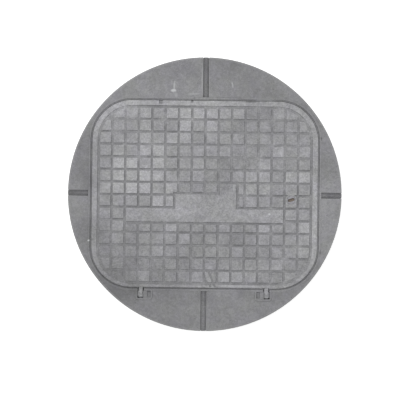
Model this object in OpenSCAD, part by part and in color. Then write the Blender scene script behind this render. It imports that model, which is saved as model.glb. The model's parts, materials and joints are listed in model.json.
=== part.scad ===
// Round access cover with a hinged, tiled lid set in a four-part surround.
// The origin is the middle of the underside, the hinge lies towards -Y, and +Z is up.

/* [Cover] */
// Outside diameter of the round cover
cover_d = 600; // [560:5:700]
// Height from the underside to the walking surface
cover_h = 90; // [86:1:120]
// Gap between pieces that are laid, bolted or cast in beside each other
part_gap = 0.3; // [0.2:0.05:0.5]
// Radial clearance of a pin or a journal in its bore
fit_clear = 0.05; // [0.02:0.01:0.09]

/* [Surround] */
// Width of the surround at its left and right sides
side_margin = 44.5; // [40:0.25:60]
// Width of the surround at its hinge end and its free end
end_margin = 87.25; // [76:0.25:110]
// Width of the surround at its four narrow corners
corner_neck = 6.4; // [5:0.1:9]
// Width of the four radial joints between the segments
joint_w = 12; // [8:0.5:16]
// Gap between the segments and the frame that they stand around
seat_gap = 0.3; // [0.2:0.1:3]
// Chamfer around the outer top edge
edge_chamfer = 2; // [1:0.25:4]
// Depth of the filling strips below the walking surface
strip_drop = 1.5; // [1:0.25:8]
// Rise of each strip's crowned top
strip_crown = 4.5; // [0.5:0.25:6]
// Width of each strip's flat top
strip_top_w = 5; // [3:0.25:7]
// Gap on each side of a filling strip
strip_gap = 0.4; // [0.3:0.05:1]
// Wall of the steel band around the surround
band_t = 3; // [2:0.5:4]
// Height of the steel band
band_h = 62; // [40:1:66]
// How far the top lip of the surround stands out past the band
band_lip = 1; // [0.5:0.25:2]

/* [Base plate] */
// Thickness of the ring plate that everything stands on
base_t = 10; // [8:0.5:14]

/* [Frame] */
// Wall thickness of the frame
frame_wall = 4.5; // [4:0.25:8]
// Width of the ledge and of the bottom flange
ledge_w = 20; // [18:0.5:26]
// Thickness of the ledge that carries the lid
ledge_t = 12; // [8:0.5:14]
// Depth from the walking surface down to the ledge
ledge_drop = 35; // [33:0.5:38]
// Thickness of the bottom flange
flange_t = 10; // [6:0.5:12]
// Thickness of the gussets between flange and ledge
gusset_t = 6; // [4:0.5:10]
// Distance of the end bolts from the centre line
end_bolt_x = 90; // [60:5:100]
// Distance of the side bolts from the cross line
side_bolt_y = 60; // [45:1:68]
// Distance of the end gussets from the centre line
end_gusset_x = 45; // [30:1:50]
// Distance of the side gussets from the cross line
side_gusset_y = 85; // [80:1:92]
// Length of the prising recess along the frame's free edge
prise_l = 105; // [60:5:130]
// Middle of the prising recess, from the centre line
prise_x = 27; // [0:1:35]
// Depth of the prising recess
prise_depth = 4; // [2:0.5:6]

/* [Seal] */
// Thickness of the rubber seal on the ledge
seal_t = 2.7; // [2:0.1:4]
// Distance of the seal from the frame's wall
seal_inset = 1; // [0.5:0.25:2]
// Distance of the seal from the ledge's inner edge
seal_lip = 2; // [1:0.5:4]

/* [Lid] */
// Gap around the lid
lid_gap = 3.5; // [3:0.1:4.5]
// Thickness of the lid's plate under the grooves
plate_t = 8; // [6:0.5:12]
// Depth of the grooves between the tiles
groove_depth = 4; // [2:0.5:6]
// Width of the grooves between the tiles
groove_w = 4.5; // [3:0.25:6]
// Width of the groove inside the rim
ring_w = 5; // [3:0.25:7]
// Width of the rim at the two sides
rim_side = 11.75; // [9:0.25:16]
// Width of the rim at the free edge
rim_free = 11.25; // [10:0.25:16]
// Width of the rim at the hinge edge
rim_hinge = 7; // [6:0.25:12]
// Number of tile columns
tile_cols = 16; // [14:2:18]
// Number of tile rows
tile_rows = 14; // [14:1:16]
// Width of the skirt under the lid's edge
skirt_w = 12; // [8:0.5:15]
// Thickness of the ribs under the lid
rib_t = 8; // [5:0.5:12]
// Distance of the outer lengthwise ribs from the middle one
rib_x = 110; // [80:5:130]
// Distance of the crosswise ribs from the cross line
rib_y = 70; // [50:5:90]
// Size of the square lifting notch in the free rim
notch_w = 7; // [5:0.5:9]
// Distance of the lifting notch from the centre line
notch_x = 98.5; // [60:0.5:110]
// Size of the small drain notch in the free rim
drain_w = 4; // [2:0.5:6]
// Distance of the drain notch from the centre line
drain_x = 30; // [20:1:50]
// Length of the shallow nick in the lid's free edge
nick_l = 22; // [8:1:26]
// Distance of the nick from the centre line
nick_x = 98.5; // [90:0.5:112]
// How far the nick cuts into the lid's edge
nick_w = 3; // [1:0.5:4]
// Depth of the nick
nick_depth = 6; // [3:0.5:10]

/* [Blank panel] */
// Tile columns from the centre line to each end of the bar
bar_cols = 6; // [4:1:6]
// Row line that the bar's upper edge lies on
bar_row = 6; // [6:1:8]
// How far the bar reaches below its row of tiles
bar_drop = 6.5; // [0:0.5:8]
// Distance of the stem's left edge from the centre line
stem_left = 66.5; // [40:0.5:70]
// Distance of the stem's right edge from the centre line
stem_right = 71.5; // [50:0.5:80]
// How far the stem reaches above its row of tiles
stem_rise = 4; // [0:0.5:8]
// Distance of the step's left edge from the centre line
step_left = 31; // [10:1:40]

/* [Hinge] */
// Distance of the two lugs from the centre line
hinge_x = 137.5; // [125:0.5:140]
// Depth of the hinge axis below the walking surface
hinge_drop = 8.5; // [8:0.25:11]
// Distance that the lid's edge keeps from the frame as it swings
swing_clear = 0.35; // [0.3:0.05:0.6]
// Width of each lug
lug_w = 10; // [8:0.5:12]
// Radius of the lug's round end
lug_r = 8; // [6.5:0.25:8.5]
// Gap between a lug and the slot that it swings in
lug_gap = 1.5; // [1:0.25:3]
// Radius of the hinge pins
pin_r = 4; // [3:0.25:4.5]
// Thickness of the ear that carries a pin's inner end
ear_t = 8; // [4:0.5:8]
// Depth of the ear's top below the walking surface
ear_drop = 2; // [1:0.5:4]
// Gap between a lug and its ear
ear_gap = 1; // [0.8:0.1:4]
// Room beside the ear for the pin's clip
clip_room = 7.5; // [7:0.5:10]
// Room between a lug and the pocket's outer wall
outer_room = 3; // [2.5:0.5:10]
// Distance from the hinge axis to the pocket's back wall
pocket_reach = 11; // [11:0.25:14]
// Depth of the hinge pockets
pocket_depth = 19; // [18:1:30]
// Corner radius of the hinge pockets
pocket_r = 3; // [2:0.5:4]
// Wall of the hinge boxes
box_wall = 4; // [3:0.5:6]
// Gap between a hinge box and the surround
box_gap = 0.4; // [0.3:0.1:2]
// Thickness of a pin's clip
clip_t = 1.2; // [0.8:0.1:1.5]
// Outer radius of a pin's clip
clip_r = 5; // [4.6:0.1:5.2]
// Depth of the clip's groove in the pin
clip_groove = 0.7; // [0.4:0.1:1]

/* [Lock] */
// Distance of the lock's axis from the edge of the opening under the lid
lock_inset = 41.25; // [38:0.25:43]
// Place of the lock along the hinge-to-free line
lock_y = -10.5; // [-14:0.5:-6]
// Radius of the raised boss around the lock
key_boss_r = 12.5; // [11.5:0.25:14]
// Radius of the spindle's head
head_r = 9; // [8.5:0.25:9.5]
// Height of the spindle's head
head_h = 7.2; // [6:0.1:9]
// Depth of the spindle's head below the walking surface
head_drop = 0.5; // [0.3:0.1:1.5]
// Length of the key slot
slot_l = 15; // [10:0.5:16]
// Width of the key slot
slot_w = 6.5; // [4:0.25:7]
// Depth of the key slot
slot_depth = 5; // [3:0.5:5]
// Angle of the key slot when the lock is open
slot_angle = 17; // [0:1:45]
// Radius of the spindle's journal
journal_r = 7; // [6.5:0.25:7.5]
// Wall of the bush around the journal
bush_t = 3; // [2:0.25:4]
// Width of the bush's flange
bush_flange = 3; // [2:0.25:4]
// Thickness of the bush's flange
bush_flange_t = 2.5; // [2:0.25:4]
// Outer radius of the boss under the lid
boss_r = 17; // [15:0.5:20]
// How far that boss reaches below the lid's ribs
boss_drop = 6; // [4:0.5:8]
// Thickness of the lock's washer
washer_t = 2; // [1.5:0.25:3]
// Thickness of the cam's arm
cam_t = 6; // [5:0.5:7]
// Reach of the cam from the spindle's axis
cam_reach = 50; // [49:0.5:54]
// Width of the cam's arm
cam_w = 16; // [12:0.5:20]
// Radius of the cam's hub
cam_hub_r = 11; // [10:0.25:13]
// Gap between the locked cam and the ledge
cam_gap = 0.5; // [0.3:0.1:1]
// Side of the square that turns the cam
square_w = 9; // [8:0.25:9.2]
// Radius of the spindle's threaded end
spindle_end_r = 4; // [3.5:0.25:4.4]
// Length of the spindle's threaded end
spindle_end_l = 10; // [9:0.5:12]
// Height of the spindle's nut
nut_h = 6.5; // [5:0.5:8]
// Width of the nut across its flats
nut_af = 13; // [11:0.5:15]

/* [Fasteners] */
// Radius of the bolts that hold the frame down
bolt_r = 4; // [3:0.25:5]
// Width of a bolt's head across its flats
bolt_af = 13; // [11:0.5:15]
// Height of a bolt's head
bolt_head_h = 5.3; // [4:0.1:7]
// Outer radius of a bolt's washer
bolt_washer_r = 8; // [7:0.25:9]
// Thickness of a bolt's washer
bolt_washer_t = 1.6; // [1:0.1:2.5]
// Clearance of a bolt in a plain hole
bolt_clear = 0.5; // [0.3:0.1:1]
// Radius of the screws that hold the segments down
screw_r = 4; // [3:0.25:4.5]
// Radius of a screw's countersunk head
screw_head_r = 8; // [6:0.25:9]
// Depth of a screw's head
screw_head_h = 4; // [3:0.25:5]
// Length of a screw
screw_l = 32; // [24:1:36]
// Wall of the threaded inserts in the segments
insert_t = 2; // [1.5:0.25:3]
// Length of the threaded inserts
insert_l = 25; // [16:1:30]
// Distance of the side screws from the cross line
side_screw_y = 40; // [30:1:50]
// Distance of the side screws outside the frame's seat
side_screw_out = 13.5; // [12:0.5:16]
// Distance of the end screws from the centre line
end_screw_x = 45; // [30:1:60]
// Distance of the end screws outside the frame's seat
end_screw_out = 33; // [15:1:40]

/* [Anchors] */
// Radius of the anchor bolts that the sockets take
anchor_r = 6; // [4:0.25:6]
// Wall of the anchor sockets
anchor_wall = 2; // [1.5:0.25:3]
// Depth of the anchor sockets' thread
anchor_depth = 54; // [30:1:60]
// Closed end above the thread
anchor_cap = 6; // [4:1:12]
// Distance of the anchors in from the cover's edge
anchor_inset = 16; // [14:0.5:18]
// Angle of the first anchor from the +X side
anchor_angle = 17.35; // [15:0.25:18]

/* [Hidden] */
$fn = 96;
// Overlap of one cut or joined shape with the next, so that no face is shared
eps = 1;

// Half sizes and corner radius of the seat that the surround leaves for the frame.
// The corner is as round as the narrow neck to the cover's edge allows.
cover_r = cover_d / 2;
seat = [cover_r - side_margin, cover_r - end_margin];
neck_r = cover_r - corner_neck;
seat_r = seat.x + seat.y - neck_r - sqrt(2 * (neck_r - seat.x) * (neck_r - seat.y));

// Insets from the seat to the frame, its opening and the lid
frame_in = seat_gap;
wall_in = frame_in + frame_wall;
opening_in = wall_in + ledge_w;
lid_in = wall_in + lid_gap;
lid = [seat.x - lid_in, seat.y - lid_in];
lid_r = seat_r - lid_in;

// Heights
ledge_top = cover_h - ledge_drop;
ledge_bottom = ledge_top - ledge_t;
flange_top = base_t + flange_t;
seal_top = ledge_top + seal_t;
lid_bottom = seal_top + part_gap;
groove_z = cover_h - groove_depth;
plate_bottom = groove_z - plate_t;
band_top = base_t + band_h;
strip_top = cover_h - strip_drop;

// Field of tiles: between the middles of the grooves inside the rim
field_x = lid.x - rim_side - ring_w / 2;
field_free = lid.y - rim_free - ring_w / 2;
field_hinge = -(lid.y - rim_hinge - ring_w / 2);
pitch_x = 2 * field_x / tile_cols;
pitch_y = (field_free - field_hinge) / tile_rows;
ring_r = lid_r - rim_side;
bar_x = bar_cols * pitch_x;
bar_top = row_line(bar_row);
bar_bottom = row_line(bar_row - 1) - bar_drop;
stem_top = row_line(bar_row + 1) + stem_rise;
step_top = row_line(bar_row + 2);

// Hinge: the axis lies just far enough back for the lid's edge to pass the frame's top corner
axis_back = (lid_gap * lid_gap + hinge_drop * hinge_drop - swing_clear * swing_clear)
    / (2 * (lid_gap - swing_clear));
axis_y = -(lid.y + axis_back);
axis_z = cover_h - hinge_drop;
lug_in = hinge_x - lug_w / 2;
lug_out = hinge_x + lug_w / 2;
ear_out = lug_in - ear_gap;
ear_in = ear_out - ear_t;
pocket_in = ear_in - clip_room;
pocket_out = lug_out + outer_room;
pocket_mid = (pocket_in + pocket_out) / 2;
pocket_half = (pocket_out - pocket_in) / 2;
pocket_back = axis_y - pocket_reach;
pocket_floor = cover_h - pocket_depth;
wall_face_y = -(seat.y - frame_in);
clip_x = ear_in - part_gap - clip_t;

// Lock: its place and every height follow from the ledge that the cam catches under
lock_x = seat.x - opening_in - lock_inset;
cam_top = ledge_bottom - cam_gap;
cam_bottom = cam_top - cam_t;
boss_bottom = lid_bottom - boss_drop;
flange_bottom = boss_bottom - bush_flange_t;
washer_top = flange_bottom - part_gap;
hub_top = washer_top - washer_t;
head_top = cover_h - head_drop;
head_bottom = head_top - head_h;
bush_top = head_bottom - part_gap;
bush_r = journal_r + fit_clear;
bush_outer_r = bush_r + bush_t;

// Radius of the segments inside the band
core_r = cover_r - band_lip - band_t - part_gap;
plate_r = cover_r - band_lip;
bolt_line = [seat.x - (wall_in + opening_in) / 2, seat.y - (wall_in + opening_in) / 2];
bolt_points = [for (sx = [-1, 1], sy = [-1, 1], p = [[end_bolt_x, bolt_line.y], [bolt_line.x, side_bolt_y]])
    [sx * p.x, sy * p.y]];
screw_points = [for (sx = [-1, 1], sy = [-1, 1],
        p = [[end_screw_x, seat.y + end_screw_out], [seat.x + side_screw_out, side_screw_y]])
    [sx * p.x, sy * p.y]];
anchor_ring = cover_r - anchor_inset;
anchor_points = [for (i = [0:3]) anchor_ring * [cos(anchor_angle + 90 * i), sin(anchor_angle + 90 * i)]];

function row_line(k) = field_hinge + k * pitch_y;

// Whether a point lies inside the rounded corners of the field of tiles
function in_field(x, y) =
    let (past_x = max(abs(x) - (field_x - ring_r), 0),
         past_y = max(y - (field_free - ring_r), field_hinge + ring_r - y, 0))
    norm([past_x, past_y]) < ring_r - ring_w / 2;

// Rounded rectangle that follows the seat, moved in by the given distance
module seat_outline(inset) {
    r = seat_r - inset;
    hx = seat.x - inset;
    hy = seat.y - inset;
    square([2 * (hx - r), 2 * hy], center = true);
    square([2 * hx, 2 * (hy - r)], center = true);
    for (sx = [-1, 1], sy = [-1, 1])
        translate([sx * (hx - r), sy * (hy - r)]) circle(r = r);
}

module seat_slab(inset, z0, z1) {
    translate([0, 0, z0]) linear_extrude(z1 - z0) seat_outline(inset);
}

// Upright round hole or bar at each of the given points
module rods(points, r, z0, z1) {
    for (p = points) translate([p.x, p.y, z0]) cylinder(r = r, h = z1 - z0);
}

module hexagon(af, h) {
    cylinder(r = af / sqrt(3), h = h, $fn = 6);
}

// ---------- Surround ----------

module base_plate() color("#55565a") difference() {
    cylinder(r = plate_r, h = base_t, $fn = 180);
    seat_slab(opening_in, -eps, base_t + eps);
    rods(bolt_points, bolt_r + fit_clear, -eps, base_t + eps);
    rods(screw_points, screw_r + bolt_clear, -eps, base_t + eps);
    rods(anchor_points, anchor_r + anchor_wall + fit_clear, -eps, base_t + eps);
    for (p = screw_points) translate([p.x, p.y, 0]) screw_sink(part_gap, eps);
}

// Countersunk cone of a screw's head, with room around it and a mouth below the plate
module screw_sink(room, mouth) {
    cylinder(r1 = screw_head_r + room, r2 = screw_r, h = screw_head_h + room);
    if (mouth > 0) translate([0, 0, -mouth]) cylinder(r = screw_head_r + room, h = mouth);
}

module outer_band() color("#77797c") translate([0, 0, base_t]) difference() {
    cylinder(r = plate_r, h = band_h, $fn = 180);
    translate([0, 0, -eps]) cylinder(r = plate_r - band_t, h = band_h + 2 * eps, $fn = 180);
}

// Solid ring section of the surround, before its seat and joints are cut, drawn in by the given gap
module surround_ring(gap, top) {
    inner = min(seat.x, seat.y) / 2;
    outer = cover_r - gap;
    rotate_extrude($fn = 180) polygon([
        [inner, base_t], [core_r, base_t], [core_r, band_top + part_gap],
        [outer, band_top + part_gap], [outer, top - edge_chamfer],
        [outer - edge_chamfer, top], [inner, top]]);
}

// One quarter of the surround; sx and sy say which
module segment(sx, sy) color("#8b8c8f") difference() {
    intersection() {
        surround_ring(0, cover_h);
        translate([sx * (joint_w + cover_r) / 2, sy * (joint_w + cover_r) / 2, cover_h / 2])
            cube([cover_r, cover_r, cover_h], center = true);
    }
    seat_slab(0, base_t - eps, cover_h + eps);
    if (sy < 0) translate([sx * pocket_mid, 0, 0])
        hinge_box_shape(box_wall + box_gap, pocket_floor - box_wall - box_gap, cover_h + eps);
    rods(screw_points, screw_r + insert_t + fit_clear, base_t - eps, base_t + insert_l + part_gap);
    rods(screw_points, screw_r + bolt_clear, base_t - eps, screw_l + part_gap);
    rods(anchor_points, anchor_r + anchor_wall + fit_clear, base_t - eps,
        anchor_depth + anchor_cap + part_gap);
}

module surround_segment_ne() segment(1, 1);
module surround_segment_nw() segment(-1, 1);
module surround_segment_sw() segment(-1, -1);
module surround_segment_se() segment(1, -1);

// Crowned strip that fills one radial joint, turned to its side of the cover
module joint_strip(angle, start) color("#6f7073") {
    half = joint_w / 2 - strip_gap;
    top = strip_top - base_t;
    intersection() {
        surround_ring(part_gap, cover_h);
        rotate([0, 0, angle]) translate([start + part_gap, 0, base_t]) rotate([90, 0, 90])
            linear_extrude(cover_r) polygon([
                [-half, 0], [half, 0], [half, top - strip_crown],
                [strip_top_w / 2, top], [-strip_top_w / 2, top], [-half, top - strip_crown]]);
    }
}

module joint_strip_east() joint_strip(0, seat.x);
module joint_strip_north() joint_strip(90, seat.y);
module joint_strip_west() joint_strip(180, seat.x);
module joint_strip_south() joint_strip(270, seat.y);

module segment_screws() color("#9a9b9c") for (p = screw_points) translate([p.x, p.y, 0]) {
    screw_sink(0, 0);
    cylinder(r = screw_r, h = screw_l);
}

module segment_inserts() color("#a8873f") for (p = screw_points) translate([p.x, p.y, base_t])
    difference() {
        cylinder(r = screw_r + insert_t, h = insert_l);
        translate([0, 0, -eps]) cylinder(r = screw_r + fit_clear, h = insert_l + 2 * eps);
    }

module anchor_sockets() color("#8d8e90") difference() {
    rods(anchor_points, anchor_r + anchor_wall, 0, anchor_depth + anchor_cap);
    rods(anchor_points, anchor_r, -eps, anchor_depth);
}

// ---------- Frame ----------

// Plan of a hinge pocket, grown by the given wall; it runs from the back wall to the frame's wall
module hinge_box_shape(grow, z0, z1) {
    back = pocket_back - grow;
    length = wall_face_y + frame_wall / 2 - back;
    r = pocket_r + grow;
    half = pocket_half + grow;
    translate([0, back, z0]) linear_extrude(z1 - z0) {
        translate([-half + r, 0]) square([2 * (half - r), length]);
        translate([-half, r]) square([2 * half, length - r]);
        for (s = [-1, 1]) translate([s * (half - r), r]) circle(r = r);
    }
}

module lid_frame() color("#6a6b6f") difference() {
    union() {
        difference() {
            seat_slab(frame_in, base_t, cover_h);
            seat_slab(wall_in, ledge_top, cover_h + eps);
            seat_slab(opening_in, base_t - eps, ledge_top + eps);
            seat_slab(wall_in, flange_top, ledge_bottom);
        }
        gussets();
        for (s = [-1, 1]) translate([s * pocket_mid, 0, 0]) difference() {
            hinge_box_shape(box_wall, pocket_floor - box_wall, cover_h);
            intersection() {
                hinge_box_shape(0, pocket_floor, cover_h + eps);
                translate([-pocket_half, pocket_back, pocket_floor])
                    cube([2 * pocket_half, wall_face_y - pocket_back, pocket_depth + eps]);
            }
        }
        for (s = [-1, 1]) hinge_ear(s);
    }
    for (s = [-1, 1]) {
        translate([s * hinge_x, wall_face_y, axis_z]) lug_slot();
        hinge_bore(s, pin_r + fit_clear);
    }
    rods(bolt_points, bolt_r + bolt_clear, base_t - eps, flange_top + eps);
    translate([prise_x - prise_l / 2, seat.y - wall_in - eps, cover_h - prise_depth])
        cube([prise_l, frame_wall + 2 * eps, prise_depth + eps]);
}

// Upright webs that tie the flange to the ledge
module gussets() {
    depth = ledge_w + eps;
    intersection() {
        difference() {
            seat_slab(wall_in - frame_wall / 2, flange_top - eps, ledge_bottom + eps);
            seat_slab(opening_in, flange_top - 2 * eps, ledge_bottom + 2 * eps);
        }
        union() {
            for (sx = [-1, 1], sy = [-1, 1]) {
                translate([sx * end_gusset_x - gusset_t / 2, sy * bolt_line.y - depth, base_t])
                    cube([gusset_t, 2 * depth, ledge_top - base_t]);
                translate([sx * bolt_line.x - depth, sy * side_gusset_y - gusset_t / 2, base_t])
                    cube([2 * depth, gusset_t, ledge_top - base_t]);
            }
        }
    }
}

module hinge_ear(s) {
    low = pocket_floor - box_wall / 2;
    translate([s * (ear_in + ear_out) / 2 - ear_t / 2, pocket_back - box_wall / 2, low])
        cube([ear_t, wall_face_y - pocket_back + box_wall, cover_h - ear_drop - low]);
}

// Opening in the frame's wall that a lug swings through
module lug_slot() {
    half = lug_w / 2 + lug_gap;
    translate([-half, -eps / 2, -lug_r - lug_gap])
        cube([2 * half, frame_wall + eps, lug_r + lug_gap + hinge_drop + eps]);
}

// Bore for a hinge pin through its ear and the outer wall of its box
module hinge_bore(s, r) {
    start = pocket_in + box_wall / 2;
    translate([s * start, axis_y, axis_z]) rotate([0, s * 90, 0])
        cylinder(r = r, h = pocket_out + box_wall + eps - start);
}

module frame_bolts() color("#a2a3a5") for (p = bolt_points) translate([p.x, p.y, part_gap]) {
    shank = flange_top + bolt_washer_t - part_gap;
    cylinder(r = bolt_r, h = shank + eps);
    translate([0, 0, shank]) hexagon(bolt_af, bolt_head_h);
}

module frame_washers() color("#b4b5b6") difference() {
    rods(bolt_points, bolt_washer_r, flange_top, flange_top + bolt_washer_t);
    rods(bolt_points, bolt_r + bolt_clear, flange_top - eps, flange_top + bolt_washer_t + eps);
}

module lid_seal() color("#232426") difference() {
    seat_slab(wall_in + seal_inset, ledge_top, seal_top);
    seat_slab(opening_in - seal_lip, ledge_top - eps, seal_top + eps);
}

// ---------- Hinge pins ----------

// Pin from the outer face of its box to the far side of its ear, with a groove for the clip
module hinge_pin(s) color("#b0b1b3") {
    length = pocket_out + box_wall - clip_x + 2 * clip_t;
    translate([s * (pocket_out + box_wall), axis_y, axis_z]) rotate([0, -s * 90, 0])
        difference() {
            cylinder(r = pin_r, h = length);
            translate([0, 0, length - 3 * clip_t - part_gap]) difference() {
                cylinder(r = pin_r + eps, h = clip_t + part_gap);
                cylinder(r = pin_r - clip_groove, h = clip_t + part_gap);
            }
        }
}

module hinge_pin_left() hinge_pin(-1);
module hinge_pin_right() hinge_pin(1);

// Open ring that snaps into each pin's groove
module hinge_clips() color("#c2c3c4") for (s = [-1, 1])
    translate([s * clip_x, axis_y, axis_z]) rotate([0, s * 90, 0]) difference() {
        cylinder(r = clip_r, h = clip_t);
        translate([0, 0, -eps]) cylinder(r = pin_r - clip_groove + fit_clear, h = clip_t + 2 * eps);
        translate([-s * clip_r / 2 - clip_r / 2, -pin_r / 2, -eps]) cube([clip_r, pin_r, clip_t + 2 * eps]);
    }

// ---------- Lid ----------

// Plan of the lid's field, inside the rim, drawn in from the groove's outer edge
module field_outline(inset) {
    r = ring_r - inset;
    x = lid.x - rim_side - inset;
    free = lid.y - rim_free - inset;
    hinge = -(lid.y - rim_hinge - inset);
    translate([-x + r, hinge]) square([2 * (x - r), free - hinge]);
    translate([-x, hinge + r]) square([2 * x, free - hinge - 2 * r]);
    for (s = [-1, 1], y = [hinge + r, free - r]) translate([s * (x - r), y]) circle(r = r);
}

// Blank panel of bar, stem and step; each side stands off its groove's middle line
module panel_plan(off) {
    for (box = [[-bar_x, bar_x, bar_top], [-stem_left, stem_right, stem_top],
            [step_left, stem_right, step_top]])
        translate([box[0] - off, bar_bottom - off])
            square([box[1] - box[0] + 2 * off, box[2] - bar_bottom + 2 * off]);
}

// Tile tops: a grid clipped by the rounded corners; a tile whose middle lies past the arc is left out
module tile_plan() {
    intersection() {
        field_outline(ring_w);
        for (col = [0:tile_cols - 1], row = [0:tile_rows - 1])
            if (in_field((col + 0.5) * pitch_x - field_x, row_line(row + 0.5)))
                translate([-field_x + col * pitch_x + groove_w / 2, row_line(row) + groove_w / 2])
                    square([pitch_x - groove_w, pitch_y - groove_w]);
    }
}

module lid() color("#9b9c9f") difference() {
    union() {
        seat_slab(lid_in, plate_bottom, groove_z);
        difference() {
            seat_slab(lid_in, groove_z - eps, cover_h);
            translate([0, 0, groove_z]) linear_extrude(groove_depth + eps) field_outline(0);
        }
        translate([0, 0, groove_z - eps]) linear_extrude(groove_depth + eps) {
            difference() {
                tile_plan();
                panel_plan(groove_w / 2);
            }
            panel_plan(-groove_w / 2);
            translate([lock_x, lock_y]) circle(r = key_boss_r);
        }
        difference() {
            seat_slab(lid_in, lid_bottom, plate_bottom + eps);
            seat_slab(lid_in + skirt_w, lid_bottom - eps, plate_bottom + 2 * eps);
        }
        lid_ribs();
        translate([lock_x, lock_y, boss_bottom]) cylinder(r = boss_r, h = plate_bottom - boss_bottom + eps);
        for (s = [-1, 1]) hinge_lug(s);
    }
    for (s = [-1, 1]) translate([s * (lug_in - eps), axis_y, axis_z]) rotate([0, s * 90, 0])
        cylinder(r = pin_r + fit_clear, h = lug_w + 2 * eps);
    translate([lock_x, lock_y, boss_bottom - eps])
        cylinder(r = bush_outer_r + fit_clear, h = bush_top - boss_bottom + eps);
    translate([lock_x, lock_y, bush_top - eps])
        cylinder(r = head_r + part_gap, h = cover_h - bush_top + 2 * eps);
    rim_notch(-notch_x, notch_w, notch_w, notch_w);
    rim_notch(-drain_x, drain_w, drain_w, drain_w);
    rim_notch(nick_x, nick_l, nick_w, nick_depth);
}

module lid_ribs() {
    h = plate_bottom - lid_bottom + eps;
    intersection() {
        seat_slab(lid_in + skirt_w / 2, lid_bottom, plate_bottom + eps);
        translate([0, 0, lid_bottom]) union() {
            for (x = [-rib_x, 0, rib_x]) translate([x - rib_t / 2, -lid.y, 0]) cube([rib_t, 2 * lid.y, h]);
            for (y = [-rib_y, rib_y]) translate([-lid.x, y - rib_t / 2, 0]) cube([2 * lid.x, rib_t, h]);
        }
    }
}

// Lug that reaches back from the lid's edge to the hinge axis
module hinge_lug(s) {
    translate([s * hinge_x - lug_w / 2, axis_y, axis_z]) rotate([90, 0, 90]) linear_extrude(lug_w) {
        circle(r = lug_r);
        translate([0, -lug_r]) square([axis_back + skirt_w / 2, 2 * lug_r]);
    }
}

// Cut of the given length, reach and depth in the free edge's rim
module rim_notch(x, length, reach, depth) {
    translate([x - length / 2, lid.y - reach, cover_h - depth])
        cube([length, reach + eps, depth + eps]);
}

// ---------- Lock ----------

module at_lock(z) {
    translate([lock_x, lock_y, z]) children();
}

module lock_bush() color("#b08d45") at_lock(flange_bottom) difference() {
    union() {
        cylinder(r = bush_outer_r + bush_flange, h = bush_flange_t);
        cylinder(r = bush_outer_r, h = bush_top - flange_bottom);
    }
    translate([0, 0, -eps]) cylinder(r = bush_r, h = bush_top - flange_bottom + 2 * eps);
}

module lock_spindle() color("#6d6459") difference() {
    union() {
        at_lock(head_bottom) cylinder(r = head_r, h = head_h);
        at_lock(hub_top) cylinder(r = journal_r, h = head_bottom - hub_top + eps);
        at_lock(cam_bottom + part_gap) translate([-square_w / 2, -square_w / 2, 0])
            cube([square_w, square_w, hub_top - cam_bottom - part_gap + eps]);
        at_lock(cam_bottom - spindle_end_l) cylinder(r = spindle_end_r, h = spindle_end_l + eps);
    }
    at_lock(head_top - slot_depth) rotate([0, 0, slot_angle]) linear_extrude(slot_depth + eps) {
        square([slot_l - slot_w, slot_w], center = true);
        for (s = [-1, 1]) translate([s * (slot_l - slot_w) / 2, 0]) circle(r = slot_w / 2);
    }
}

module lock_washer() color("#b9babb") at_lock(hub_top) difference() {
    cylinder(r = cam_hub_r, h = washer_t);
    translate([0, 0, -eps]) cylinder(r = journal_r + part_gap, h = washer_t + 2 * eps);
}

// Cam in its open place, along the lid; a quarter turn carries its nose under the ledge
module lock_cam() color("#7d7f82") at_lock(cam_bottom) difference() {
    union() {
        cylinder(r = cam_hub_r, h = hub_top - cam_bottom);
        translate([-cam_w / 2, 0, 0]) cube([cam_w, cam_reach - cam_w / 2, cam_t]);
        translate([0, cam_reach - cam_w / 2, 0]) cylinder(r = cam_w / 2, h = cam_t);
    }
    hole = square_w + 2 * fit_clear;
    translate([-hole / 2, -hole / 2, -eps]) cube([hole, hole, hub_top - cam_bottom + 2 * eps]);
}

module lock_nut() color("#a6a7a9") at_lock(cam_bottom - nut_h) difference() {
    hexagon(nut_af, nut_h);
    translate([0, 0, -eps]) cylinder(r = spindle_end_r + fit_clear, h = nut_h + 2 * eps);
}

base_plate();
outer_band();
surround_segment_ne();
surround_segment_nw();
surround_segment_sw();
surround_segment_se();
joint_strip_east();
joint_strip_north();
joint_strip_west();
joint_strip_south();
segment_screws();
segment_inserts();
anchor_sockets();
lid_frame();
frame_bolts();
frame_washers();
lid_seal();
hinge_pin_left();
hinge_pin_right();
hinge_clips();
lid();
lock_bush();
lock_spindle();
lock_washer();
lock_cam();
lock_nut();
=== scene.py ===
# %% [markdown]
# # A round access cover with a hinged, tiled lid
# The cover is a ring of four cast segments held by a steel band, with an iron frame let into
# its middle and a hinged iron lid in the frame. The solids come from the construction model and
# hold every size. Here each one gets the edges, skin and wear that it has in the street.

# %% Load the frame of solids
import json
import math
import random
from itertools import groupby

import bmesh
import bpy
from mathutils import Matrix, Vector, noise
from mathutils.bvhtree import BVHTree

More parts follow.
